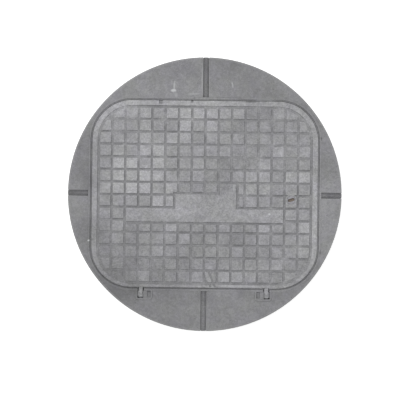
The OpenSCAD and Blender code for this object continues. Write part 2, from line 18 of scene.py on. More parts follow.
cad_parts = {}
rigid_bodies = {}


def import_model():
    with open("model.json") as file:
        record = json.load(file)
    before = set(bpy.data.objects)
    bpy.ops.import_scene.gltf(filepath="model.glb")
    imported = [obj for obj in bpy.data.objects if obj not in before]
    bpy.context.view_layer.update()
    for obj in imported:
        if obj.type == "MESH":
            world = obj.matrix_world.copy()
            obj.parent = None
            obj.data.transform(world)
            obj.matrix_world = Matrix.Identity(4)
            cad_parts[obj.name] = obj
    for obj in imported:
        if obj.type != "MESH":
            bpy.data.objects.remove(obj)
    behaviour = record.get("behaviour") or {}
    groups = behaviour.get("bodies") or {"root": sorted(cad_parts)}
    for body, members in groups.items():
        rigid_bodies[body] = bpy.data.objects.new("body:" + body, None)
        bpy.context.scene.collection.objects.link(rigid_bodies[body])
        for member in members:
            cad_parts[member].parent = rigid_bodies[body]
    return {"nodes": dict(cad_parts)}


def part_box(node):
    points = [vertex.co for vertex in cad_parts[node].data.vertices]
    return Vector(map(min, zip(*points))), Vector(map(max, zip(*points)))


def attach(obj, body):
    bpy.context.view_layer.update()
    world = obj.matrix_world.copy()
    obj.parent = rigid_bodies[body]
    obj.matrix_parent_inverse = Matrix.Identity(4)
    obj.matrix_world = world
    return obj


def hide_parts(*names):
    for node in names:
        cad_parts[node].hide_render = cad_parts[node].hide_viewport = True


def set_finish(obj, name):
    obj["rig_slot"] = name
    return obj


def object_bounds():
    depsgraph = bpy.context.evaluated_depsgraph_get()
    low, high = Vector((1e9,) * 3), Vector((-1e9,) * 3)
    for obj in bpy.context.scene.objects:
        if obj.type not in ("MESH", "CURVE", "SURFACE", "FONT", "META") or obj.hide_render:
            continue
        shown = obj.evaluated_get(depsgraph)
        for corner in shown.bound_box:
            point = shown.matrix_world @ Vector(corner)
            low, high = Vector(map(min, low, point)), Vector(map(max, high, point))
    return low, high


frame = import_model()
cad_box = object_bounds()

MM = 0.001
cover_low, cover_high = (Vector(corner) for corner in cad_box)
TOP = cover_high.z
RADIUS = (cover_high.x - cover_low.x) / 2
print("cover", round(2 * RADIUS / MM), "mm across,", round(TOP / MM), "mm high")

# %% [markdown]
# ## Camera
# A cover is best recorded from straight above with a long lens, as a surveyor would do it: the
# circle stays a circle and no side wall shows. The lens is 120 mm, and the distance follows from
# how much of the picture the cover fills. The cover lies a little off centre and slightly turned.

# %% Camera
LENS = 120
SENSOR = 36
WIDTH_OVER_RADIUS = 2.919
ROLL = math.radians(0.70)
OFFSET = Vector((-10.2, -12.8)) * MM


def new_object(name, data):
    """An object in the scene that holds the data."""
    made = bpy.data.objects.new(name, data)
    bpy.context.scene.collection.objects.link(made)
    return made


picture_width = WIDTH_OVER_RADIUS * RADIUS
camera_height = picture_width * LENS / SENSOR
camera_data = bpy.data.cameras.new("camera")
camera_data.lens = LENS
camera_data.sensor_width = SENSOR
camera = new_object("camera", camera_data)
camera.rotation_euler = (0, 0, ROLL)
camera.location = (OFFSET.x, OFFSET.y, TOP + camera_height)
bpy.context.scene.camera = camera
print("camera", round(camera_height, 3), "m above the cover")

# %% [markdown]
# ## Light and floor
# Worn iron and concrete show their colour best under a bright, cloudy sky. The world gives that
# even light, and one large soft lamp from the upper left draws the edges of the tiles. The floor
# is white, and the part of its white that only the camera sees doesn't light the cover.

# %% Node helpers
def add(tree, kind, inputs=None, **settings):
    """Adds a node, sets it, and fills its sockets with values or with other nodes' outputs."""
    made = tree.nodes.new(kind)
    for key, value in settings.items():
        setattr(made, key, value)
    for socket, value in (inputs or {}).items():
        if isinstance(value, bpy.types.NodeSocket):
            tree.links.new(value, made.inputs[socket])
        else:
            made.inputs[socket].default_value = value
    return made


def calc(tree, operation, first, second=0.0, clamp=False):
    return add(tree, "ShaderNodeMath", {0: first, 1: second}, operation=operation, use_clamp=clamp).outputs[0]


def spread(tree, value, low, high, to_low=0.0, to_high=1.0):
    """Maps low..high to to_low..to_high, smoothly and without running past the ends."""
    made = add(tree, "ShaderNodeMapRange", {"Value": value, "From Min": low, "From Max": high,
                                            "To Min": to_low, "To Max": to_high},
               interpolation_type="SMOOTHSTEP")
    return made.outputs["Result"]


def blend_colors(tree, factor, first, second, kind="MIX"):
    made = add(tree, "ShaderNodeMix", {0: factor, 6: first, 7: second}, data_type="RGBA", blend_type=kind)
    return made.outputs[2]


def height_of(tree, place):
    return add(tree, "ShaderNodeSeparateXYZ", {"Vector": place}).outputs["Z"]


def distance_to(tree, place, centre):
    return add(tree, "ShaderNodeVectorMath", {0: place, 1: centre}, operation="DISTANCE").outputs["Value"]


def seen_directly(tree):
    """1 on what the camera sees, also in a mirror or through glass, and 0 on what only gives light."""
    path = add(tree, "ShaderNodeLightPath").outputs
    return calc(tree, "ADD", path["Is Camera Ray"],
                calc(tree, "ADD", path["Is Glossy Ray"], path["Is Transmission Ray"]), clamp=True)


def grey(level, warm=0.0):
    """A grey with a touch of warmth, or of cold where it is negative."""
    return (level * (1 + warm), level, level * (1 - warm), 1)


# %% World and lamp
SKY_LEVEL = 0.62
LAMP_LEVEL = 0.40
LAMP_SIZE = 2.2
LAMP_PLACE = Vector((-0.9, 1.1, 3.2))

world = bpy.data.worlds.new("studio")
bpy.context.scene.world = world
world.use_nodes = True
sky = world.node_tree
sky.nodes.clear()
sky_color = blend_colors(sky, seen_directly(sky), grey(SKY_LEVEL), grey(1.0))
backdrop = add(sky, "ShaderNodeBackground", {"Color": sky_color, "Strength": 1.0})
add(sky, "ShaderNodeOutputWorld", {"Surface": backdrop.outputs[0]})

lamp_data = bpy.data.lights.new("softbox", "AREA")
lamp_data.size = LAMP_SIZE
distance = LAMP_PLACE.length
lamp_data.energy = LAMP_LEVEL * math.pi ** 2 * distance ** 3 / LAMP_PLACE.z
lamp = new_object("softbox", lamp_data)
lamp.location = LAMP_PLACE
lamp.rotation_euler = (-LAMP_PLACE).to_track_quat("-Z", "Y").to_euler()
print("softbox", round(lamp_data.energy, 1), "W")

bpy.context.scene.view_settings.view_transform = "Standard"

# %% Floor
FLOOR_SIZE = 4.0
FLOOR_GREY = 0.80
FLOOR_LIFT = 0.62

floor_mesh = bpy.data.meshes.new("floor")
sheet = bmesh.new()
bmesh.ops.create_grid(sheet, x_segments=1, y_segments=1, size=FLOOR_SIZE)
sheet.to_mesh(floor_mesh)
sheet.free()
floor = new_object("floor", floor_mesh)

floor_paint = bpy.data.materials.new("floor_paint")
floor_paint.use_nodes = True
tree = floor_paint.node_tree
tree.nodes.clear()
plain = add(tree, "ShaderNodeBsdfDiffuse", {"Color": grey(FLOOR_GREY)})
lift = add(tree, "ShaderNodeEmission", {"Color": grey(FLOOR_LIFT), "Strength": seen_directly(tree)})
both = add(tree, "ShaderNodeAddShader", {0: plain.outputs[0], 1: lift.outputs[0]})
add(tree, "ShaderNodeOutputMaterial", {"Surface": both.outputs[0]})
floor_mesh.materials.append(floor_paint)
print("floor", round(2 * FLOOR_SIZE), "m wide")

# %% [markdown]
# ## Shared surface effects
# Cast iron, concrete and plated steel differ in colour and scale, but share a few effects: soft
# patches, a fine grain, small pits, dirt that settles below the walking surface, the remains of a
# dip coat, areas that feet and rain have changed together with painted shade along the lid's
# outline, and stray marks with some painted light among them. Each is a node group with its own
# sockets, so every material places it with its own values. The patterns read a place in metres,
# and their sizes are in mm.

# %% Groups: patches and grain
def new_group(name, inputs, outputs):
    """An empty shader group with the given sockets, and its input and output nodes."""
    group = bpy.data.node_groups.new(name, "ShaderNodeTree")
    for label, value in inputs.items():
        kind = "NodeSocketFloat" if isinstance(value, float) else "NodeSocketVector"
        socket = group.interface.new_socket(label, in_out="INPUT", socket_type=kind)
        socket.default_value = value
    for label in outputs:
        group.interface.new_socket(label, in_out="OUTPUT", socket_type="NodeSocketFloat")
    return group, add(group, "NodeGroupInput").outputs, add(group, "NodeGroupOutput").inputs


def fill(group, sinks, **values):
    for label, value in values.items():
        group.links.new(value, sinks[label.replace("_", " ")])


def pattern_space(group, source):
    """The place moved by the seed, and the scale that gives features of the size."""
    shifted = add(group, "ShaderNodeVectorMath", {0: source["Place"], 1: source["Seed"]}, operation="ADD")
    return {"Vector": shifted.outputs[0], "Scale": calc(group, "DIVIDE", 1 / MM, source["Size"])}


def cloud(group, space, **settings):
    return add(group, "ShaderNodeTexNoise", {**space, **settings}).outputs["Fac"]


def cells(group, space):
    """How far each place lies from its cell's middle, and two chance values for each cell."""
    made = add(group, "ShaderNodeTexVoronoi", {**space, "Randomness": 1.0}).outputs
    chances = add(group, "ShaderNodeSeparateColor", {"Color": made["Color"]}).outputs
    return made["Distance"], chances[0], chances[1]


PLACE = (0.0, 0.0, 0.0)
SAND_SHARE = 0.7
CELL_SHARE = 0.4

patches, source, sink = new_group("patches", {"Place": PLACE, "Size": 60.0, "Seed": 0.0}, ["Value"])
soft = cloud(patches, pattern_space(patches, source), Detail=4.0, Roughness=0.55, Distortion=0.3)
fill(patches, sink, Value=spread(patches, soft, 0.3, 0.7))

grain, source, sink = new_group("grain", {"Place": PLACE, "Size": 1.5, "Seed": 0.0}, ["Height", "Specks"])
space = pattern_space(grain, source)
sandy = cloud(grain, space, Detail=6.0, Roughness=0.65)
away, speck, _ = cells(grain, space)
fill(grain, sink, Specks=speck, Height=calc(grain, "ADD", calc(grain, "MULTIPLY", sandy, SAND_SHARE),
                                            calc(grain, "MULTIPLY", away, CELL_SHARE)))
print("groups", [g.name for g in bpy.data.node_groups])

# %% Group: pits
# A few of the cells of a coarse pattern become pits, and each pit's size follows its cell.
SMALLEST_PIT = 0.08
PIT_GROWTH = 0.16

pits, source, sink = new_group("pits", {"Place": PLACE, "Size": 9.0, "Share": 0.15, "Seed": 0.0}, ["Mask"])
away, choice, size = cells(pits, pattern_space(pits, source))
chosen = calc(pits, "LESS_THAN", choice, source["Share"])
reach = calc(pits, "ADD", calc(pits, "MULTIPLY", size, PIT_GROWTH), SMALLEST_PIT)
fill(pits, sink, Mask=calc(pits, "MULTIPLY", chosen, spread(pits, away, 0.0, reach, 1.0, 0.0)))

# %% Group: dirt below the walking surface
# The mask grows with the depth below the top, and its border is ragged.
def ragged(group, value, pattern, amount):
    """The value, moved up and down by a pattern whose middle is 0.5."""
    return calc(group, "ADD", value, calc(group, "MULTIPLY", calc(group, "SUBTRACT", pattern, 0.5), amount))


dirt, source, sink = new_group("settled_dirt", {"Place": PLACE, "Top": TOP, "Depth": 4 * MM, "Size": 12.0,
                                                "Seed": 0.0}, ["Mask"])
below = calc(dirt, "DIVIDE", calc(dirt, "SUBTRACT", source["Top"], height_of(dirt, source["Place"])),
             source["Depth"])
uneven = ragged(dirt, below, cloud(dirt, pattern_space(dirt, source), Detail=3.0), 0.7)
fill(dirt, sink, Mask=spread(dirt, uneven, 0.1, 0.9))

# %% Group: old dip coat
# Castings are dipped in a dark coat before they leave the foundry. In time it fades in patches,
# and brown rust comes through.
RUST_FINENESS = 2.7

old_coat, source, sink = new_group("old_coat", {"Place": PLACE, "Size": 40.0, "Seed": 0.0}, ["Fade", "Rust"])
space = pattern_space(old_coat, source)
fade = cloud(old_coat, space, Detail=5.0, Roughness=0.6)
finer = {**space, "Scale": calc(old_coat, "MULTIPLY", space["Scale"], RUST_FINENESS)}
rust = cloud(old_coat, finer, Detail=7.0, Roughness=0.7)
fill(old_coat, sink, Fade=spread(old_coat, fade, 0.35, 0.72), Rust=spread(old_coat, rust, 0.54, 0.70))

# %% Group: where feet and rain have passed, and painted shade
# Soft areas, most of them wide, are a little lighter or darker than the rest of the cover. Some
# are wear and rain, and the darker ones along the lid's outline, at its hinge side and in the
# south-west are painted shade. Each has its place east and north of the centre and its reach, in
# mm, and its change in brightness.
# The negative changes along the lid's outline, its hinge side and the south-west are painted shade.
WORN_AND_SHADED_AREAS = (
    (-140, 60, 120, 0.19), (-70, -35, 80, 0.10), (-10, 185, 110, 0.17), (-230, 185, 70, 0.08),
    (-175, -165, 130, -0.24), (-145, -100, 60, -0.16), (40, 60, 110, -0.09), (75, -95, 60, -0.13),
    (120, 140, 120, -0.08), (-30, -115, 110, -0.10), (70, -185, 60, 0.10), (225, 0, 200, 0.16),
    (-110, 20, 80, 0.10), (-243, 20, 45, -0.20), (-243, -80, 50, -0.18), (-80, -199, 70, -0.22),
    (-160, 245, 100, 0.12), (-215, -215, 100, -0.18), (282, -90, 80, 0.10), (-275, -95, 60, -0.10),
    (215, 190, 70, -0.07), (-60, -275, 90, -0.05), (60, 290, 80, -0.08), (262, 60, 50, -0.14),
    (-262, 40, 50, -0.10), (-285, 0, 60, 0.10), (230, -190, 60, -0.08), (0, -222, 26, -0.14),
    (-243, 95, 60, -0.12), (6, -182, 15, -0.20), (42, 14, 22, -0.16), (-150, -204, 24, -0.24),
    (88, -211, 26, -0.18),
)

footfall_and_painted_shade, source, sink = new_group("footfall_and_painted_shade", {"Place": PLACE}, ["Value"])
value = 1.0
for east, north, reach, change in WORN_AND_SHADED_AREAS:
    away = distance_to(footfall_and_painted_shade, source["Place"], (east * MM, north * MM, TOP))
    value = calc(footfall_and_painted_shade, "MULTIPLY", spread(footfall_and_painted_shade, away, 0.0, reach * MM, 1 + change, 1.0), value)
fill(footfall_and_painted_shade, sink, Value=value)
print(len(WORN_AND_SHADED_AREAS), "worn areas")

# %% Group: stray marks and painted light
# Chalky scuffs and splashes lie on the top, and some pale marks are painted light: a painted
# highlight along the lid's hinge rim, and painted light on the shaded slit behind each lug's tip.
# Each has its place east and north of the centre, its half length and half width in mm, the angle
# of its length, and its strength.
PALE_MARKS_AND_PAINTED_LIGHT = (
    (-69.4, 237, 12, 2.6, 88, 0.5), (-71.0, 226.3, 6.0, 4.2, 5, 0.95), (58, 240, 9, 2.0, 100, 0.45),
    (-7.5, 250, 38, 3.0, 90, 0.22), (-26, 219.5, 17, 2.6, 3, 0.28), (142, -42, 3.0, 2.4, 0, 1.0),
    # Painted highlight: the mark at 78 east, 201 south lies along the lid's hinge rim.
    (-253, -104, 3.0, 2.4, 0, 1.0), (78, -201, 48, 3.0, 0, 0.35), (-65.5, 216.5, 6, 4.4, 110, 0.26),
    (63.4, 15.5, 10, 2.8, 90, 0.35), (130, 207, 24, 3.4, 0, 0.22), (-139, -218, 11, 5.0, 90, 0.16),
    # Painted light: the last two marks, at the lugs' tips, lighten the shade in the slit behind them.
    (138, -219, 9, 4.5, 90, 0.12), (-137.5, -226, 5, 3.4, 0, 0.66), (137.5, -226, 5, 3.4, 0, 0.66),
)

MARK_FINENESS = 260.0
MARK_RAGGED = 0.9

marks, source, sink = new_group("pale_marks_and_painted_light", {"Place": PLACE}, ["Mask"])
edge_pattern = cloud(marks, {"Vector": source["Place"]}, Scale=MARK_FINENESS, Detail=3.0)
value = 0.0
for east, north, half_length, half_width, angle, strength in PALE_MARKS_AND_PAINTED_LIGHT:
    inside = add(marks, "ShaderNodeMapping",
                 {"Vector": source["Place"], "Location": (east * MM, north * MM, TOP),
                  "Rotation": (0, 0, math.radians(angle)),
                  "Scale": (half_length * MM, half_width * MM, 1.0)}, vector_type="TEXTURE")
    away = add(marks, "ShaderNodeVectorMath", {0: inside.outputs[0]}, operation="LENGTH").outputs["Value"]
    border = ragged(marks, away, edge_pattern, MARK_RAGGED)
    value = calc(marks, "MAXIMUM", spread(marks, border, 0.5, 1.1, strength, 0.0), value)
fill(marks, sink, Mask=value)
print(len(PALE_MARKS_AND_PAINTED_LIGHT), "marks; groups", [g.name for g in bpy.data.node_groups])

# %% [markdown]
# ## Pieces with worn edges
# The construction model has mathematically sharp edges. A casting leaves its mould with small
# radii, and feet and traffic round the upper edges further. Each piece is therefore a copy of its
# solid with its sharp edges bevelled by the width that its making and its wear give.

# %% Worked copies
SAME_POINT = 0.002 * MM
FLAT = math.radians(0.5)
SHARP = math.radians(28)
CREASE = math.radians(50)


def clean_copy(node):
    """The node's solid as an editable mesh, with one flat face for each flat side."""
    work = bmesh.new()
    work.from_mesh(frame["nodes"][node].data)
    bmesh.ops.remove_doubles(work, verts=work.verts, dist=SAME_POINT)
    bmesh.ops.dissolve_limit(work, angle_limit=FLAT, verts=work.verts, edges=work.edges)
    return work


def sharp_edges(work, angle=SHARP):
    return [edge for edge in work.edges if len(edge.link_faces) == 2 and edge.calc_face_angle(0) > angle]


def heights(edge):
    """The lower and the upper of an edge's two heights."""
    return sorted(corner.co.z for corner in edge.verts)


def round_edges(work, edges, width, segments, clamp=True):
    """Bevels edges and marks the new faces, so that a finish can show wear and a painted highlight on them.
    """
    marks = work.faces.layers.float.get("edge") or work.faces.layers.float.new("edge")
    made = bmesh.ops.bevel(work, geom=edges, offset=width, offset_type="OFFSET", affect="EDGES",
                           segments=segments, profile=0.5, material=-1, clamp_overlap=clamp)
    for face in made["faces"]:
        face[marks] = 1.0


def mesh_from(work, name):
    """A mesh of what bmesh has made, which frees the work."""
    mesh = bpy.data.meshes.new(name)
    work.to_mesh(mesh)
    work.free()
    return mesh


def finished_piece(work, name, body, *nodes):
    """Makes the mesh a piece that rides its body, in place of the nodes."""
    bmesh.ops.triangulate(work, faces=[face for face in work.faces if len(face.verts) > 4])
    bmesh.ops.recalc_face_normals(work, faces=work.faces)
    for face in work.faces:
        face.smooth = True
    for edge in sharp_edges(work, CREASE):
        edge.smooth = False
    piece = new_object(name, mesh_from(work, name))
    flat_sides = piece.modifiers.new("flat_sides", "WEIGHTED_NORMAL")
    flat_sides.keep_sharp = True
    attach(piece, body)
    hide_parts(*nodes)
    return piece


def worked_copy(node, body, width, slot, segments=2, clamp=True, crisp=None):
    """A copy of a node with its sharp edges rounded, except those that crisp picks."""
    work = clean_copy(node)
    edges = [edge for edge in sharp_edges(work) if not (crisp and crisp(edge))]
    round_edges(work, edges, width, segments, clamp)
    piece = finished_piece(work, node + "_worn", body, node)
    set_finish(piece, slot)
    print(piece.name, len(piece.data.polygons), "faces")
    return piece

# %% [markdown]
# ## The lid
# The lid is cast in grey iron with its raised squares, flat panel and rim in one piece. No two
# squares come out alike: each one's top ends a fraction low and tips a little, and its edges are
# round from feet and wheels. Further values are stored on the lid's faces for its finish: a tone
# for each square, and where the lid is scraped or still has its dark coat.

# %% Scrape across the lid's edge
lid_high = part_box("lid")[1]
# Something heavy was once dragged off the lid at its hinge side. It left two curved grooves side
# by side, cut here with tubes that lie half sunk along each groove's path. The points are east
# and north of the centre, in mm.
SCRAPE_PATHS = (
    ((-0.2, -170), (1.0, -181), (4.2, -189), (9.0, -194.5), (13.5, -198.5), (15.0, -207)),
    ((10.5, -170), (14.0, -178), (17.2, -184.5), (18.8, -191), (22.5, -196.5), (26.0, -207)),
)
SCRAPE_RADIUS = 2.3 * MM
SCRAPE_HEIGHT = TOP + 0.6 * MM
TUBE_ROUNDNESS = 5


def tubes(name, stretches):
    """A mesh of closed tubes, each along a list of places and radii."""
    curve = bpy.data.curves.new(name, "CURVE")
    curve.dimensions = "3D"
    curve.bevel_depth = MM
    curve.bevel_resolution = TUBE_ROUNDNESS
    curve.use_fill_caps = True
    for stretch in stretches:
        spline = curve.splines.new("POLY")
        spline.points.add(len(stretch) - 1)
        for knot, (place, radius) in zip(spline.points, stretch):
            knot.co = (*place, 1)
            knot.radius = radius / MM
    holder = bpy.data.objects.new(name, curve)
    mesh = bpy.data.meshes.new_from_object(holder)
    bpy.data.objects.remove(holder)
    return mesh


def carved(work, cutter_mesh):
    """The piece with the cutter's shape taken out of it."""
    blank, cutter = new_object("blank", mesh_from(work, "blank")), new_object("cutter", cutter_mesh)
    cut = blank.modifiers.new("cut", "BOOLEAN")
    cut.object = cutter
    result = bmesh.new()
    result.from_object(blank, bpy.context.evaluated_depsgraph_get())
    for piece in (blank, cutter):
        bpy.data.objects.remove(piece)
    return result


def in_a_scrape(face):
    return face[scraped] > 0.5


work = clean_copy("lid")
work.faces.layers.float.new("scrape")
scrapes = tubes("scrapes", [[(Vector((east * MM, north * MM, SCRAPE_HEIGHT)), SCRAPE_RADIUS)
                             for east, north in path] for path in SCRAPE_PATHS])
in_scrape = scrapes.attributes.new("scrape", "FLOAT", "FACE")
in_scrape.data.foreach_set("value", [1.0] * len(scrapes.polygons))
work = carved(work, scrapes)
scraped = work.faces.layers.float["scrape"]
print("scrapes", sum(in_a_scrape(face) for face in work.faces), "faces, of", len(work.faces))

# %% Squares of the lid
SQUARE_DROP = 0.45 * MM
SQUARE_TIP = 0.008
AT_TOP = lid_high.z - 0.1 * MM
LEVEL = 0.999
WIDE = 1.2

tops = [face for face in work.faces if face.normal.z > LEVEL and face.calc_center_median().z > AT_TOP]
areas = sorted(face.calc_area() for face in tops)
full_square = areas[len(areas) // 2]
squares = sorted((face for face in tops if face.calc_area() < WIDE * full_square),
                 key=lambda face: tuple(round(v, 4) for v in face.calc_center_median()))
print(len(squares), "squares of", round(full_square / MM ** 2), "mm2, and",
      len(tops) - len(squares), "wide faces")

chance = random.Random(7)
square_places = []
for face in squares:
    centre = face.calc_center_median()
    tip = Vector((chance.gauss(0, SQUARE_TIP), chance.gauss(0, SQUARE_TIP), 0))
    drop = chance.uniform(0.2, 1) * SQUARE_DROP
    across, along = ([corner.co[axis] for corner in face.verts] for axis in (0, 1))
    square_places.append((min(across), max(across), min(along), max(along), chance.random()))
    for corner in face.verts:
        corner.co.z -= max(0.0, drop + tip.dot(corner.co - centre))

# %% Edges of the lid
# The tops' edges and the upright corners between them wear round together. Very short edges,
# where a curve clips a square, are closed first, so that the rounding has room.
ABOVE_GROOVES = lid_high.z - 4.4 * MM
NEAR_TOP = lid_high.z - 1.5 * MM
SHORT_EDGE = 0.7 * MM
TOP_WEAR = 0.75 * MM
CAST_EDGE = 0.8 * MM
LUG_EDGE = 2.4 * MM
LUG_RIM = 1.4


def middle_of(node):
    low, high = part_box(node)
    return (low + high) / 2


def above_grooves(edge):
    low, high = heights(edge)
    return low > ABOVE_GROOVES and high > NEAR_TOP and not any(in_a_scrape(face) for face in edge.link_faces)


square_edges = {edge for face in squares for edge in face.edges}
bmesh.ops.dissolve_degenerate(work, dist=SHORT_EDGE, edges=list(square_edges))
hinge_edge = min(corner.co.y for corner in work.verts if corner.co.z > AT_TOP)
pin_low, pin_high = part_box("hinge_pin_right")
pin_middle = middle_of("hinge_pin_right")
pin_reach = (pin_high.z - pin_low.z) / 2


def round_lug(edge):
    """Picks the outline of the lugs' sides, but not their pin holes."""
    places = [corner.co for corner in edge.verts]
    past_rim = all((place.yz - pin_middle.yz).length > LUG_RIM * pin_reach for place in places)
    return past_rim and max(place.y for place in places) < hinge_edge + SAME_POINT and (
        min(place.y for place in places) < hinge_edge - MM)


lugs = [edge for edge in sharp_edges(work) if round_lug(edge)]
round_edges(work, lugs, LUG_EDGE, 3)
upper = [edge for edge in sharp_edges(work) if above_grooves(edge)]
round_edges(work, upper, TOP_WEAR, 3, clamp=False)
for corner in work.verts:
    corner.co.z = min(corner.co.z, lid_high.z)
lower = [edge for edge in sharp_edges(work) if heights(edge)[1] < ABOVE_GROOVES - MM]
round_edges(work, lower, CAST_EDGE, 2)
print(len(upper), "worn edges and", len(lower), "cast edges below")

# %% Tones stored on the lid
MARGIN = 0.3 * MM
ON_SQUARES = ABOVE_GROOVES + 0.7 * MM
MIDDLE_TONE = 0.5
FACES_DOWN = -0.5


def square_tone(point):
    if point.z < ON_SQUARES:
        return MIDDLE_TONE
    for left, right, near, far, tone in square_places:
        if left - MARGIN < point.x < right + MARGIN and near - MARGIN < point.y < far + MARGIN:
            return tone
    return MIDDLE_TONE


tones = work.faces.layers.float.new("tone")
coats = work.faces.layers.float.new("coat")
for face in work.faces:
    face[tones] = square_tone(face.calc_center_median())
    face[coats] = float(face.normal.z < FACES_DOWN)
lid = finished_piece(work, "lid_worn", "lid", "lid")
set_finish(lid, "lid_iron")
print("lid", len(lid.data.polygons), "faces")

# %% [markdown]
# ## Street dirt in the grooves
# The grooves hold dirt that feet and rain have packed unevenly: nearly full in some places and
# almost empty in others. It is one uneven sheet just above the groove floor, from which the
# squares stand out. Its edge ends inside the lid's rim, and it leaves the lock's seat free.

# %% Dirt sheet
DIRT_STEP = 2.5 * MM
DIRT_FLOOR = lid_high.z - 3.9 * MM
DIRT_DEPTH = 2.4 * MM
BROAD_PATCH = 26 * MM
FINE_PATCH = 0.2 * BROAD_PATCH
HALF_FULL = 0.5
BROAD_CHANGE = 0.9
FINE_CHANGE = 0.35
FULLEST = 1.35
LOCK_ROOM = 2 * MM
RIM_MIDDLE = 9.3 * MM
HINGE_RIM_MIDDLE = 4.5 * MM
CORNER_START = 14 * MM
CORNER_BAND = 10 * MM
CORNER_FILL = 0.75
# Places where the grooves are fuller or emptier: east and north of the centre and reach, in mm,
# and the change as a share of the sheet's depth.
PACKED_PLACES = ((150, 110, 130, 0.5), (-190, -150, 110, 0.7), (190, -160, 90, 0.3), (-110, -150, 80, 0.3),
                 (60, 90, 90, 0.3), (-190, 170, 80, 0.3), (-60, 180, 70, -0.2), (-150, -10, 90, -0.5),
                 (200, -10, 60, -0.5), (110, -90, 60, -0.4), (-160, 190, 45, 0.5), (160, 190, 45, 0.4),
                 (18, 14, 45, 0.5))
lock_middle = middle_of("lock_bush")
lock_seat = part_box("lock_bush")[1].x - lock_middle.x + LOCK_ROOM
lid_points = [v.co for v in frame["nodes"]["lid"].data.vertices]
side_ends = max(co.y for co in lid_points if co.x > lid_high.x - 0.01 * MM)
lid_corner = lid_high.y - side_ends


def past_corner(point):
    """How far a point lies beyond the middle of the lid's nearest rounded corner, across and along."""
    return Vector([max(0.0, abs(point[axis]) - lid_high[axis] + lid_corner) for axis in (0, 1)])


def rim_line(point):
    """The corner radius of the line half way across the rim, which is narrower at the hinges."""
    return lid_corner - (HINGE_RIM_MIDDLE if point.y < 0 else RIM_MIDDLE)


def inside_rim(point):
    return past_corner(point).length < rim_line(point)


def packed(point):
    """How much fuller the grooves are: along the rim's corners, and in a few wide places."""
    beyond = past_corner(point)
    at_rim = beyond.length > rim_line(point) - CORNER_BAND
    corner = CORNER_FILL * min(1.0, min(beyond) / CORNER_START) if at_rim else 0.0
    return corner + sum(change * max(0.0, 1 - (point.xy / MM - Vector((east, north))).length / reach)
                        for east, north, reach, change in PACKED_PLACES)


def new_piece(mesh, body, slot, smooth=True):
    """A piece of its own, which rides a body and takes the slot's finish."""
    if smooth:
        mesh.shade_smooth()
    piece = new_object(mesh.name, mesh)
    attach(piece, body)
    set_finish(piece, slot)
    print(piece.name, len(mesh.polygons), "faces")


work = bmesh.new()
columns = math.ceil(2 * lid_high.x / DIRT_STEP)
bmesh.ops.create_grid(work, x_segments=columns, y_segments=columns, size=lid_high.x)
outside = [corner for corner in work.verts
           if not inside_rim(corner.co) or (corner.co.xy - lock_middle.xy).length < lock_seat]
bmesh.ops.delete(work, geom=outside, context="VERTS")
for corner in work.verts:
    full = (HALF_FULL + BROAD_CHANGE * noise.noise(corner.co / BROAD_PATCH)
            + FINE_CHANGE * noise.noise(corner.co / FINE_PATCH))
    corner.co.z = DIRT_FLOOR + DIRT_DEPTH * min(FULLEST, max(0.0, full + packed(corner.co)))
new_piece(mesh_from(work, "groove_dirt"), "lid", "lid_iron")

# %% [markdown]
# ## The surround, the frame and the fittings
# The concrete segments and the mortar in the joints between them lose their arrises first, so
# they have the widest edges. The frame and the base plate are castings. Rolled band, bolts and
# other bought parts keep crisp, narrow edges.

# %% Surround and frame
CONCRETE_ARRIS = 1.6 * MM
MORTAR_ARRIS = 1.4 * MM
FRAME_EDGE = 0.8 * MM
ROLLED_EDGE = 0.3 * MM
SEAT_NEAR = 1.2 * MM


def tree_of(*nodes):
    """A search tree over the faces of some nodes."""
    points, faces = [], []
    for node in nodes:
        mesh = frame["nodes"][node].data
        faces += [[len(points) + k for k in face.vertices] for face in mesh.polygons]
        points += [v.co for v in mesh.vertices]
    return BVHTree.FromPolygons(points, faces)


def at_seat(*neighbours):
    """Picks the upper edges that lie against other nodes, in the frame's seat, which cement covers."""
    near = tree_of(*neighbours)

    def crisp(edge):
        middle = (edge.verts[0].co + edge.verts[1].co) / 2
        return middle.z > TOP - SAME_POINT and near.find_nearest(middle - Vector((0, 0, MM)))[3] < SEAT_NEAR
    return crisp


segments = ["surround_segment_" + side for side in ("ne", "nw", "sw", "se")]
strips = ["joint_strip_" + side for side in ("east", "north", "west", "south")]
for node in segments:
    worked_copy(node, "surround", CONCRETE_ARRIS, "surround_concrete", 3, False, at_seat("lid_frame"))
for node in strips:
    worked_copy(node, "surround", MORTAR_ARRIS, "strip_filler", 3)
worked_copy("lid_frame", "surround", FRAME_EDGE, "frame_iron", 2, False, at_seat(*segments))

# %% Bought parts, the base plate and the band
# Each line: the body, the width of the edges, the slot, and the nodes that share them
FITTINGS = (
    ("surround", ROLLED_EDGE, "plate_iron", ["base_plate"]),
    ("surround", ROLLED_EDGE, "band_steel", ["outer_band"]),
    ("surround", ROLLED_EDGE, "zinc_steel",
     ["segment_screws", "anchor_sockets", "frame_bolts", "frame_washers", "hinge_clips"]),
    ("surround", ROLLED_EDGE, "insert_brass", ["segment_inserts"]),
    ("surround", ROLLED_EDGE, "seal_rubber", ["lid_seal"]),
    ("surround", ROLLED_EDGE, "pin_steel", ["hinge_pin_left", "hinge_pin_right"]),
    ("lid", ROLLED_EDGE, "bush_brass", ["lock_bush"]),
    ("lock", ROLLED_EDGE, "spindle_iron", ["lock_spindle"]),
    ("lock", ROLLED_EDGE / 2, "zinc_steel", ["lock_washer", "lock_nut"]),
    ("lock", ROLLED_EDGE, "cam_steel", ["lock_cam"]),
)
for body, width, slot, nodes in FITTINGS:
    for node in nodes:
        worked_copy(node, body, width, slot)

# %% [markdown]
# ## Grit and cement in the joints
# On the road the joint round the lid soon fills with packed grit, which stops just short of the
# lid because the lid is opened now and then. The hairline between the frame and the concrete is
# closed with cement. Both are rough beads that follow the frame's walls, made as tubes whose
# radius and height vary along the way. They leave out the slots, where the hinges' lugs swing.

